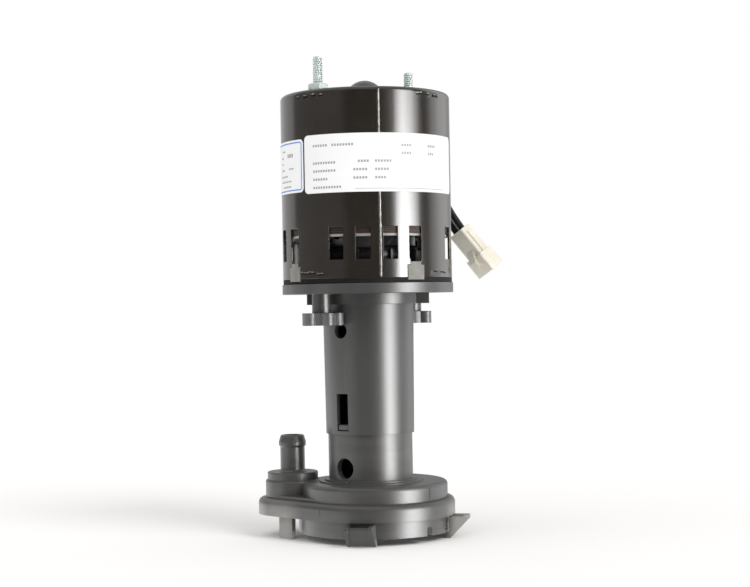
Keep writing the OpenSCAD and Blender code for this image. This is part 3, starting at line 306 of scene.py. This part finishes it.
def laminations(name, dark, light, rough):
    """Stacked sheets: fine level lines with varnish over them."""
    n = Finish(name, specular_ior_level=0.15)
    lines = n.wave(320, 0.6, wave_type="BANDS", bands_direction="Z")
    varnish = n.noise(160, 4)
    n.bump((lines, 0.12, 0.6), edge=0.1)
    return n.set(base_color=n.mix(n.span(n.math("ADD", lines, varnish), 0.5, 1.4), dark, light),
                 roughness=n.span(varnish, 0.3, 0.7, rough, rough + 0.25))


def windings(name, dark, light, rough):
    """Enamelled copper wire laid side by side round each bobbin, with painted shade in the grooves
    between turns and a painted highlight on their crests.
    """
    n = Finish(name, metallic=0.5, coat_weight=0.2)
    turns = n.wave(420, wave_type="RINGS", rings_direction="Z")
    n.bump((turns, 0.25, 0.8))
    # The tone follows the turns: painted shade in the grooves, painted highlight on the crests
    return n.set(base_color=n.mix(turns, dark, light),
                 roughness=n.span(n.noise(300), 0.3, 0.7, rough, rough + 0.14))


def ink(name, colour):
    """Print that has rubbed thin in places."""
    n = Finish(name)
    wear = n.noise(3000, 4, 0.7)
    n.bump((wear, 0.01, 0.2))
    pale = tuple(min(1, c * 1.6 + 0.1) for c in colour)
    return n.set(base_color=n.mix(n.ramp(wear, [(0.5, 0.0), (0.68, 0.7)]), colour, pale),
                 roughness=n.span(wear, 0.3, 0.7, 0.5, 0.62))


def painted_glint(name, dark, light, rough):
    """Painted highlight: a pale tone in flakes over a dark one, for light caught on raised edges.
    """
    n = Finish(name, metallic=0.3)
    flakes = n.noise(900, 5, 0.7)
    n.bump((flakes, 0.05, 0.5))
    return n.set(base_color=n.mix(n.ramp(flakes, [(0.38, 0.0), (0.6, 1.0)]), dark, light),
                 roughness=n.span(flakes, 0.3, 0.7, rough, rough + 0.15))


# Slot: recipe, dark tone, light tone, roughness, and what else the recipe takes
LOOKS = {
    "shell_paint": (enamel, (0.018, 0.0145, 0.0115), (0.025, 0.0205, 0.016), 0.13,
                    {"streaks": 0.10}),
    "cover_paint": (enamel, (0.014, 0.013, 0.013), (0.026, 0.025, 0.024), 0.3,
                    {"streaks": 0.05}),
    "bare_steel": (metal, (0.17, 0.165, 0.15), (0.26, 0.255, 0.235), 0.7,
                   {"stretch": (500, 500, 40), "brush": 0.3,
                    "spots": (0.35, (0.12, 0.105, 0.08)), "share": 0.06}),
    "rubber": (soft, (0.005, 0.005, 0.005), (0.011, 0.011, 0.011), 0.7,
               {"scale": 1800, "bump": 0.3, "specular_ior_level": 0.12}),
    "lamination": (laminations, (0.016, 0.011, 0.009), (0.045, 0.031, 0.024), 0.35, {}),
    "insulator": (soft, (0.3, 0.3, 0.29), (0.42, 0.42, 0.4), 0.45,
                  {"scale": 900, "bump": 0.2}),
    "bobbin_nylon": (soft, (0.016, 0.013, 0.011), (0.03, 0.025, 0.021), 0.5,
                     {"scale": 900, "bump": 0.2}),
    "winding_copper": (windings, (0.07, 0.022, 0.009), (0.2, 0.075, 0.028), 0.28, {}),
    "bronze": (metal, (0.3, 0.15, 0.05), (0.45, 0.25, 0.09), 0.45,
               {"stretch": (300, 300, 300), "brush": 0.3}),
    "felt": (soft, (0.5, 0.45, 0.3), (0.72, 0.66, 0.48), 0.9,
             {"scale": 1400, "bump": 0.9, "sheen_weight": 0.4}),
    "zinc": (metal, (0.46, 0.52, 0.5), (0.64, 0.71, 0.68), 0.5,
             {"stretch": (90, 90, 500), "spots": (0.15, (0.3, 0.32, 0.25)), "share": 0.22}),
    "knob_plastic": (moulded, (0.08, 0.081, 0.083), (0.125, 0.126, 0.127), 0.42, {}),
    "column_plastic": (moulded, (0.047, 0.046, 0.045), (0.064, 0.063, 0.062), 0.34,
                       {"grain": 0.15, "flow": (160, 160, 9)}),
    # The casing's last entry is painted light: a pale tone for light and reflections on its two low
    # ends
    "casing_plastic": (moulded, (0.048, 0.047, 0.0455), (0.07, 0.0685, 0.066), 0.36,
                       {"grain": 0.2, "film": (0.43, 0.41, 0.385)}),
    "label_white": (soft, (0.86, 0.87, 0.87), (0.9, 0.91, 0.91), 0.5,
                    {"scale": 2200, "bump": 0.08, "specular_ior_level": 0.1}),
    "wire_black": (soft, (0.006, 0.006, 0.006), (0.012, 0.012, 0.013), 0.38,
                   {"scale": 700, "bump": 0.12, "specular_ior_level": 0.35}),
    "connector_nylon": (soft, (0.76, 0.71, 0.59), (0.88, 0.84, 0.74), 0.36,
                        {"scale": 700, "bump": 0.14, "subsurface_weight": 0.12,
                         "subsurface_scale": 0.004}),
    "pin_tin": (metal, (0.5, 0.5, 0.48), (0.66, 0.66, 0.63), 0.3, {}),
    "shaft_steel": (metal, (0.42, 0.42, 0.41), (0.6, 0.6, 0.59), 0.25,
                    {"stretch": (40, 40, 2600), "brush": 0.3}),
    "cage_aluminium": (metal, (0.2, 0.205, 0.21), (0.3, 0.305, 0.31), 0.6,
                       {"stretch": (200, 200, 200), "brush": 0.3}),
    "fan_plastic": (moulded, (0.016, 0.016, 0.017), (0.03, 0.03, 0.031), 0.45, {}),
    "washer_fibre": (soft, (0.55, 0.5, 0.38), (0.72, 0.67, 0.53), 0.75,
                     {"scale": 1200, "bump": 0.5}),
    "impeller_plastic": (moulded, (0.05, 0.052, 0.054), (0.085, 0.088, 0.09), 0.4, {}),
}
SURFACES = {slot: recipe(slot, dark, light, rough, **more)
            for slot, (recipe, dark, light, rough, more) in LOOKS.items()}

slot_of = {s["node"]: s["material_slot"] for s in frame["record"]["subparts"]}
for name, obj in frame["nodes"].items():
    obj.data.materials.clear()
    obj.data.materials.append(SURFACES[slot_of[name]])
    obj.data.shade_smooth()


# ---- mesh helpers
class Rows:
    """Rings of points joined into closed skins, whose faces look outwards.

    The rings run anticlockwise as seen from the end that they move towards.
    """

    def __init__(self):
        self.verts, self.faces = [], []

    def skin(self, rings, loop=False):
        """Join rings into a tube, closed by a cap at each end or, as a loop, end to end."""
        base, n, count = len(self.verts), len(rings[0]), len(rings)
        for ring in rings:
            self.verts += ring
        for i in range(count if loop else count - 1):
            here, after = base + i * n, base + (i + 1) % count * n
            for k in range(n):
                j = (k + 1) % n
                self.faces.append((here + k, here + j, after + j, after + k))
        if not loop:
            self.faces.append(tuple(base + k for k in reversed(range(n))))
            self.faces.append(tuple(base + (count - 1) * n + k for k in range(n)))


def piece(name, rows, slot, body="pump", smooth=False, material=None):
    """A mesh piece that rides on a body and takes its material from a slot."""
    mesh = bpy.data.meshes.new(name)
    mesh.from_pydata([[c * MM for c in v] for v in rows.verts], [], rows.faces)
    mesh.validate()
    obj = add(name, mesh)
    mesh.materials.append(material or SURFACES[slot])
    if smooth:
        mesh.shade_smooth()
    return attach(obj, body)


def across(r_in, r_out, z0, z1, a):
    """A rectangle across the shell's wall, for bars that run round it towards larger angles."""
    inner, outer = on_circle(r_in, a), on_circle(r_out, a)
    return [(*inner, z0), (*inner, z1), (*outer, z1), (*outer, z0)]


# ---- the lead: both wires follow the route of part.scad
LEAD_D = 3.6
LEAD_GAP = 0.6
LEAD_ANGLE = 135
PLUG_PITCH = 5.4
PLUG_TILT = 52
PLUG_ROLL = -35
LEAD_ROUTE = [Vector(p) for p in (
    (28.8, 28.8, -24.5), (30.8, 30.8, -24.5), (33.8, 33.8, -25.6), (36, 36, -28.8),
    (36.8, 36.8, -33), (36.8, 36.6, -37.2), (36.8, 36, -41.4), (37, 35.2, -45.6),
    (37.4, 34, -49.6), (38.4, 32.6, -53.4), (39.8, 31.2, -57), (41.6, 29.8, -60.4),
    (43.4, 28.6, -63.6), (45.4, 27.4, -66.8), (47.4, 26.6, -69.8), (49.2, 26.4, -72.2))]
# How finely a wire's round section and its curve between two points are drawn
WIRE_ROUND = 6
WIRE_ALONG = 6


def wire_route(side):
    """One wire's middle line, in metres, to one side (1 or -1) of the lead's route.

    The line between the two wires turns from the grommet's holes to the connector's.
    """
    tilt, roll, lead = (math.radians(a) for a in (PLUG_TILT, PLUG_ROLL, LEAD_ANGLE))
    plug_across = Vector((math.sin(roll) * math.sin(tilt), math.cos(roll),
                          math.sin(roll) * math.cos(tilt)))
    grommet_across = Vector((math.cos(lead), math.sin(lead), 0))
    last = len(LEAD_ROUTE) - 1
    points = []
    for i, p in enumerate(LEAD_ROUTE):
        t = i / last
        d = (LEAD_ROUTE[min(i + 1, last)] - LEAD_ROUTE[max(i - 1, 0)]).normalized()
        m = (1 - t) * grommet_across + t * plug_across
        off = (1 - t) * (LEAD_D + LEAD_GAP) / 2 + t * PLUG_PITCH / 2
        points.append((p + side * off * (m - m.dot(d) * d).normalized()) * MM)
    return points


def wire(name, side, node):
    """A lead wire as a curve that replaces its solid."""
    points = wire_route(side)
    curve = bpy.data.curves.new(name, "CURVE")
    curve.dimensions = "3D"
    curve.bevel_depth = LEAD_D / 2 * MM
    curve.bevel_resolution = WIRE_ROUND
    curve.use_fill_caps = True
    spline = curve.splines.new("BEZIER")
    spline.bezier_points.add(len(points) - 1)
    for b, p in zip(spline.bezier_points, points):
        b.co = p
        b.handle_left_type = b.handle_right_type = "AUTO"
    spline.resolution_u = WIRE_ALONG
    obj = add(name, curve)
    curve.materials.append(SURFACES["wire_black"])
    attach(obj, "pump")
    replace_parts(obj, node)


wire("wire_a", 1, "lead_wire_a")
wire("wire_b", -1, "lead_wire_b")


# ---- threaded studs and chamfered nuts: each stud's angle, its nut's turn, and its tip
STUDS = ((-45, 10, 13.1), (135, 24, 10.8))
SHANK_R = STUD_R - 0.32
THREAD_PITCH = 1.06
THREAD_DEPTH = 0.5
THREAD_FROM = -0.6
THREAD_RUNOUT = 0.3
TIP_CHAMFER = 0.6
STUD_POINTS = 28
RINGS_PER_PITCH = 8
NUT_POINTS = 72
# Where the nut's flat face ends and its cone begins, as shares of half its width
NUT_FACE = 0.93
NUT_CONE = 0.955
CONE_SLOPE = 1.73
CONE_DEPTHS = (0, 0.08, 0.16, 0.26, 0.38, 0.52, 0.7)
HOLE_PLAY = 0.1
# The countersink's rim and foot, as depth below the nut's face and play round the stud
COUNTERSINK = ((0.02, 0.55), (0.35, 0.12))


def polar(x, y, r, t, z):
    """A point at height z round (x, y), its angle in radians."""
    return x + r * math.cos(t), y + r * math.sin(t), z


def threaded(rows, x, y, tip):
    """A rod with a rolled thread from THREAD_FROM to its chamfered upper end."""
    turns = [2 * math.pi * k / STUD_POINTS for k in range(STUD_POINTS)]
    rings = [[polar(x, y, SHANK_R, t, z) for t in turns]
             for z in (STUD_FOOT, THREAD_FROM - THREAD_RUNOUT)]
    steps = int((tip - THREAD_FROM) / THREAD_PITCH * RINGS_PER_PITCH)
    for i in range(steps + 1):
        z = THREAD_FROM + (tip - THREAD_FROM) * i / steps
        ring = []
        for k, t in enumerate(turns):
            phase = (z / THREAD_PITCH - k / STUD_POINTS) % 1
            # The crest is flat for a fifth of the pitch and falls evenly on both sides
            crest = min(1, 1.25 - 2.5 * abs(phase - 0.5))
            r = min(STUD_R - THREAD_DEPTH * (1 - crest), STUD_R - TIP_CHAMFER + (tip - z))
            ring.append(polar(x, y, r, t, z))
        rings.append(ring)
    rows.skin(rings)


def hex_nut(rows, x, y, turn):
    """A hexagon with its corners cut by a cone at both faces, and a countersunk hole."""
    apothem = NUT_AF / 2

    def ring(z, limit):
        points = []
        for k in range(NUT_POINTS):
            a = 360 * k / NUT_POINTS
            flat = apothem / math.cos(math.radians((a + 30) % 60 - 30))
            points.append(polar(x, y, min(flat, limit), math.radians(a + turn), z - NUT_H))
        return points

    def cone(depth):
        return apothem * NUT_CONE + depth * CONE_SLOPE

    outline = [(0, STUD_R + HOLE_PLAY), (0, apothem * NUT_FACE)]
    outline += [(d, cone(d)) for d in CONE_DEPTHS]
    outline += [(NUT_H - d, cone(d)) for d in reversed(CONE_DEPTHS)]
    outline += [(NUT_H, apothem * NUT_FACE)]
    outline += [(NUT_H - below, STUD_R + play) for below, play in COUNTERSINK]
    rows.skin([ring(z, limit) for z, limit in outline], loop=True)


studs, nuts = Rows(), Rows()
for angle, turn, tip in STUDS:
    place = on_circle(STUD_PCD / 2, angle)
    threaded(studs, *place, tip)
    hex_nut(nuts, *place, turn)
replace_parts(piece("threaded_studs", studs, "zinc", smooth=True), "mounting_studs")
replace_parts(piece("chamfered_nuts", nuts, "zinc"), "top_nuts")


# ---- print on the labels: rows of plain blocks, one rule and a border, with no lettering
PRINT_R = SHELL_R + 0.2
PRINT_DEPTH = 0.03
PRINT_LIFT = 0.02
BEND_STEP = 2
# Rows as height, first angle and last angle; their blocks as height, pitch and width
WIDE_BLOCKS = (1.1, 1.9, 1.25)
WIDE_ROWS = (
    (-31.2, -36.5, -25), (-31.2, -22.5, -7), (-39.5, -36.5, -18), (-43.3, -36.5, -18),
    (-47.2, -36.5, -24), (-51.1, -36.5, -15), (-39.2, -5, 3), (-39.2, 6, 19),
    (-43.1, -8, 3), (-43.1, 6, 16), (-47, -8, 3), (-47, 6, 15),
    (-31.7, 24, 33), (-31.7, 45, 54), (-35.4, 24, 33), (-35.4, 45, 52))
WIDE_RULE = (-7, 61, -52.25, -52.05)
NARROW_BLOCKS = (0.8, 2.2, 1.6)
NARROW_ROWS = (
    (-32, -74, -67), (-35, -76, -70), (-38, -76, -70), (-41, -76, -69),
    (-44.2, -77, -63), (-46.8, -76, -57), (-49.4, -72, -58), (-40.8, -62, -55))
LARGE_BLOCKS = (1.8, 2, 1.5)
LARGE_ROWS = ((-34.4, -64, -56),)
# The border's first and last angle and lowest and highest edge
BORDER_BOX = (-118.6, -46.7, -51.6, -28.2)
BORDER = 0.62
CORNER = 1.6
CORNER_STEPS = 6
INK_GREY = (0.3, 0.3, 0.31)
INK_BLUE = (0.1, 0.22, 0.68)


def printed(rows, a0, a1, z0, z1):
    """A thin printed bar bent round the shell between two angles and two heights."""
    steps = max(1, int((a1 - a0) / BEND_STEP))
    rows.skin([across(PRINT_R - PRINT_DEPTH, PRINT_R + PRINT_LIFT, z0, z1,
                      a0 + (a1 - a0) * i / steps) for i in range(steps + 1)])


def blocks(rows, table, height, pitch, width):
    """Rows of short blank blocks, where the real label has its lettering."""
    for z, a0, a1 in table:
        for i in range(int((a1 - a0) / pitch)):
            start = a0 + i * pitch
            printed(rows, start, start + width, z - height / 2, z + height / 2)


def border(rows):
    """The printed frame of the side label, with rounded corners."""
    a0, a1, z0, z1 = BORDER_BOX
    per_mm = math.degrees(1 / SHELL_R)
    inset = CORNER * per_mm
    edges = []
    for ca, cz, start in ((a1 - inset, z1 - CORNER, 90), (a1 - inset, z0 + CORNER, 0),
                          (a0 + inset, z0 + CORNER, -90), (a0 + inset, z1 - CORNER, 180)):
        for i in range(CORNER_STEPS + 1):
            t = math.radians(start - 90 * i / CORNER_STEPS)
            edges.append([(ca + r * math.cos(t) * per_mm, cz + r * math.sin(t))
                          for r in (CORNER - BORDER, CORNER)])
    rings = []
    for pair, after in zip(edges, edges[1:] + edges[:1]):
        steps = max(1, int(abs(after[0][0] - pair[0][0]) / BEND_STEP))
        for j in range(steps):
            inner, outer = ([p[c] + (q[c] - p[c]) * j / steps for c in (0, 1)]
                            for p, q in zip(pair, after))
            rings.append([(*on_circle(PRINT_R + lift, a), z) for lift, (a, z) in (
                (-PRINT_DEPTH, outer), (PRINT_LIFT, outer),
                (PRINT_LIFT, inner), (-PRINT_DEPTH, inner))])
    rows.skin(rings, loop=True)


grey_print, blue_print = Rows(), Rows()
blocks(grey_print, WIDE_ROWS, *WIDE_BLOCKS)
printed(grey_print, *WIDE_RULE)
blocks(grey_print, NARROW_ROWS, *NARROW_BLOCKS)
blocks(grey_print, LARGE_ROWS, *LARGE_BLOCKS)
border(blue_print)
piece("label_rules", grey_print, "label_white", material=ink("ink_grey", INK_GREY))
piece("label_border", blue_print, "label_white", material=ink("ink_blue", INK_BLUE))


# ---- painted highlights and shade: the raised edge of the shell's seam, and the staked bits along
# its two rims, painted pale where they catch light, with near-black painted shade under each stake
SEAM_ANGLE = 9.1
SEAM_Z = (-93.9, -5.2)
SEAM_WIDTH = 0.95
SEAM_LIFT = 0.08
SEAM_ROOT = 0.25
SEAM_STEP = 2.2
# How much of its width the seam's edge loses in places, and how fast that comes and goes
SEAM_SWING = 0.25
SWING_RATE = 1.7
# The stakes are painted pale, as painted highlights
# Runs of stakes, as first and last angle, lower edge and height
RIM_RUNS = (
    (-51, -46, -6.7, 0.5), (-44, -40.5, -7.0, 0.45), (-37, -33.5, -6.4, 0.6),
    (-31, -28.5, -6.7, 0.5), (36, 43, -6.4, 0.4), (45, 50, -6.7, 0.35), (52, 58, -6.6, 0.4),
    (-50, -37, -91.3, 0.4), (-35, -29, -91.9, 0.3), (57, 66, -91.5, 0.45),
    (51, 56, -91.2, 0.3))
STAKE_PITCH = 2.6
STAKE_DRIFT = 0.22
DRIFT_RATE = 3.1
STAKE_ANGLES = (0, 1.1, 2.1)
STAKE_LIFT = 0.12
# Near-black bits just under each stake: painted shade
SHADE_ANGLES = (-0.2, 1.3, 2.4)
SHADE_LIFT = 0.05
# The painted shade's lower and upper edge, below the stake's lower edge
SHADE_Z = (-0.75, -0.1)
RIM_ROOT = 0.2


def seam_glint_edge(rows):
    """A thin upright edge on the shell, its width wandering a little along its height."""
    z0, z1 = SEAM_Z
    count = int((z1 - z0) / SEAM_STEP)
    rings = []
    for i in range(count + 1):
        z = z0 + (z1 - z0) * i / count
        width = SEAM_WIDTH * (1 - SEAM_SWING + SEAM_SWING * math.sin(z * SWING_RATE))
        half = math.degrees(width / 2 / SHELL_R)
        rings.append([(*on_circle(SHELL_R + r, SEAM_ANGLE + s * half), z) for r, s in (
            (-SEAM_ROOT, -1), (SEAM_LIFT, -0.7), (SEAM_LIFT, 0.7), (-SEAM_ROOT, 1))])
    rows.skin(rings)


def rim_bit(rows, angles, lift, z0, z1):
    """A short raised bit that follows the shell through some angles."""
    rows.skin([across(SHELL_R - RIM_ROOT, SHELL_R + lift, z0, z1, a) for a in angles])


seam, stakes, stake_shades = Rows(), Rows(), Rows()
seam_glint_edge(seam)
for a0, a1, low, high in RIM_RUNS:
    for i in range(max(1, int((a1 - a0) / STAKE_PITCH))):
        start = a0 + STAKE_PITCH * i
        z = low + STAKE_DRIFT * math.sin(DRIFT_RATE * start)
        rim_bit(stakes, [start + a for a in STAKE_ANGLES], STAKE_LIFT, z, z + high)
        # Each stake gets near-black painted shade just below it
        rim_bit(stake_shades, [start + a for a in SHADE_ANGLES], SHADE_LIFT,
                *(z + below for below in SHADE_Z))
# The seam's raised edge is painted pale: a painted highlight along its length
piece("seam_glint_edge", seam, "shell_paint",
      material=painted_glint("seam_painted_highlight", (0.25, 0.24, 0.22), (0.62, 0.61, 0.58), 0.4))
# Painted highlights: the stakes along both rims are painted pale where they catch light
piece("rim_stake_glints", stakes, "shell_paint",
      material=painted_glint("rim_painted_highlight", (0.1, 0.095, 0.085), (0.32, 0.31, 0.28), 0.4))
# Painted shade: near-black bits under the stakes, in the rubber slot's material
piece("rim_painted_shade", stake_shades, "rubber")


# ---- the hoop that ties the tips of the fan's blades, above the fan's floor
HOOP_R = (24.2, 25)
HOOP_ABOVE = (1, 9.6)
HOOP_POINTS = 120

fan_floor = min(v.co.z for v in frame["nodes"]["cooling_fan"].data.vertices) / MM
hoop = Rows()
hoop.skin([across(*HOOP_R, *(fan_floor + z for z in HOOP_ABOVE), 360 * k / HOOP_POINTS)
           for k in range(HOOP_POINTS)], loop=True)
piece("fan_hoop", hoop, "fan_plastic", body="rotor", smooth=True)


# ---- floor and lamps
FLOOR_HALF = 30000
FLOOR_TONES = ((0.9, 0.89, 0.88), (0.93, 0.92, 0.91))


def floor():
    """The pale floor, which isn't part of the object and shows in no mirrored ray."""
    s, z = FLOOR_HALF * MM, FOOT_Z * MM
    mesh = bpy.data.meshes.new("floor")
    mesh.from_pydata([(-s, -s, z), (s, -s, z), (s, s, z), (-s, s, z)], [], [(0, 1, 2, 3)])
    obj = add("floor", mesh)
    n = Finish("floor", roughness=0.9, specular_ior_level=0)
    mesh.materials.append(n.set(base_color=n.mix(n.noise(2, 2), *FLOOR_TONES)))
    obj.visible_glossy = False


def sun(name, azimuth, elevation, strength, spread):
    """A far, soft lamp: azimuth is counted from the front towards +X. The world gives the gloss."""
    light = bpy.data.lights.new(name, "SUN")
    light.energy = strength
    light.angle = math.radians(spread)
    obj = add(name, light)
    up = math.radians(elevation)
    towards = Vector((*on_circle(math.cos(up), azimuth), math.sin(up)))
    obj.rotation_euler = towards.to_track_quat("Z", "Y").to_euler()
    obj.visible_glossy = False


# ---- world: white for the camera, plain for diffuse light, and a room for polished surfaces
WHITE = (1.0, 1.0, 1.0)
SHOWN_LEVEL = 1
PLAIN_LEVEL = 0.72
# Levels by azimuth from the front: a dark room with pale walls, one tall softbox, and the
# pale bench in front, which the low parts mirror
ROOM = (
    (-180, 0.6), (-140, 0.85), (-116, 0.95), (-109, 0.35), (-60, 0.3), (-35, 0.3),
    (-22, 0.06), (16, 0.06), (30, 0.2), (88, 0.24), (101, 1.6), (118, 2.1), (135, 1.4),
    (152, 0.55), (180, 0.5))
SOFTBOX = (
    (-180, 0), (22, 0), (33, 0.02), (38, 0.1), (43, 0.5), (48, 0.92), (52, 1), (58, 0.8),
    (65, 0.6), (72, 0.26), (79, 0.02), (90, 0), (180, 0))
BENCH = (
    (-180, 0.4), (-140, 1.2), (-125, 3), (-50, 3), (-38, 0.5), (30, 0.3), (100, 0.3),
    (180, 0.4))
# Ranges of the ray's upward part: the softbox's lower edge with its levels below and above
# it, where its ends fade, where the bench begins, and where the ceiling or floor takes over
SOFTBOX_RISE = (-0.03, 0.14, 34, 11.5)
SOFTBOX_ENDS = (0.35, 0.6, 1, 0)
BENCH_DIP = (-0.1, -0.13)
OVERHEAD = (0.5, 0.8)
OVERHEAD_LEVEL = 0.9


def world():
    """Light and background, chosen by the kind of ray."""
    w = bpy.data.worlds.new("world")
    bpy.context.scene.world = w
    t = Tree(w)
    out = t.new("ShaderNodeOutputWorld")
    ray = t.new("ShaderNodeLightPath")
    axes = t.new("ShaderNodeSeparateXYZ")
    t.feed(axes.inputs[0], t.new("ShaderNodeTexCoord").outputs["Generated"])
    x, y, z = axes.outputs
    azimuth = t.span(t.math("ARCTAN2", x, t.math("MULTIPLY", y, -1)), -math.pi, math.pi)
    steep = t.math("ABSOLUTE", z)

    def by_azimuth(stops):
        top = max(level for _, level in stops)
        shares = [(angle / 360 + 0.5, level / top) for angle, level in stops]
        return t.math("MULTIPLY", t.ramp(azimuth, shares), top)

    def background(strength):
        node = t.new("ShaderNodeBackground")
        t.feed(node.inputs["Color"], WHITE)
        t.feed(node.inputs["Strength"], strength)
        return node.outputs[0]

    def by_ray(kind, other, this):
        node = t.new("ShaderNodeMixShader")
        for socket, source in zip(node.inputs, (ray.outputs[kind], other, this)):
            t.feed(socket, source)
        return node.outputs[0]

    softbox = t.math("MULTIPLY", by_azimuth(SOFTBOX), t.span(z, *SOFTBOX_RISE))
    softbox = t.math("MULTIPLY", softbox, t.span(steep, *SOFTBOX_ENDS))
    bench = t.math("MULTIPLY", by_azimuth(BENCH), t.span(z, *BENCH_DIP))
    walls = t.math("ADD", t.math("ADD", by_azimuth(ROOM), softbox), bench)
    mirrored = t.mix(t.span(steep, *OVERHEAD), walls, OVERHEAD_LEVEL, kind="FLOAT")
    lit = by_ray("Is Glossy Ray", background(PLAIN_LEVEL), background(mirrored))
    t.feed(out.inputs[0], by_ray("Is Camera Ray", lit, background(SHOWN_LEVEL)))


floor()
world()
sun("key", azimuth=48, elevation=42, strength=1.25, spread=30)
sun("fill", azimuth=-50, elevation=50, strength=0.6, spread=60)
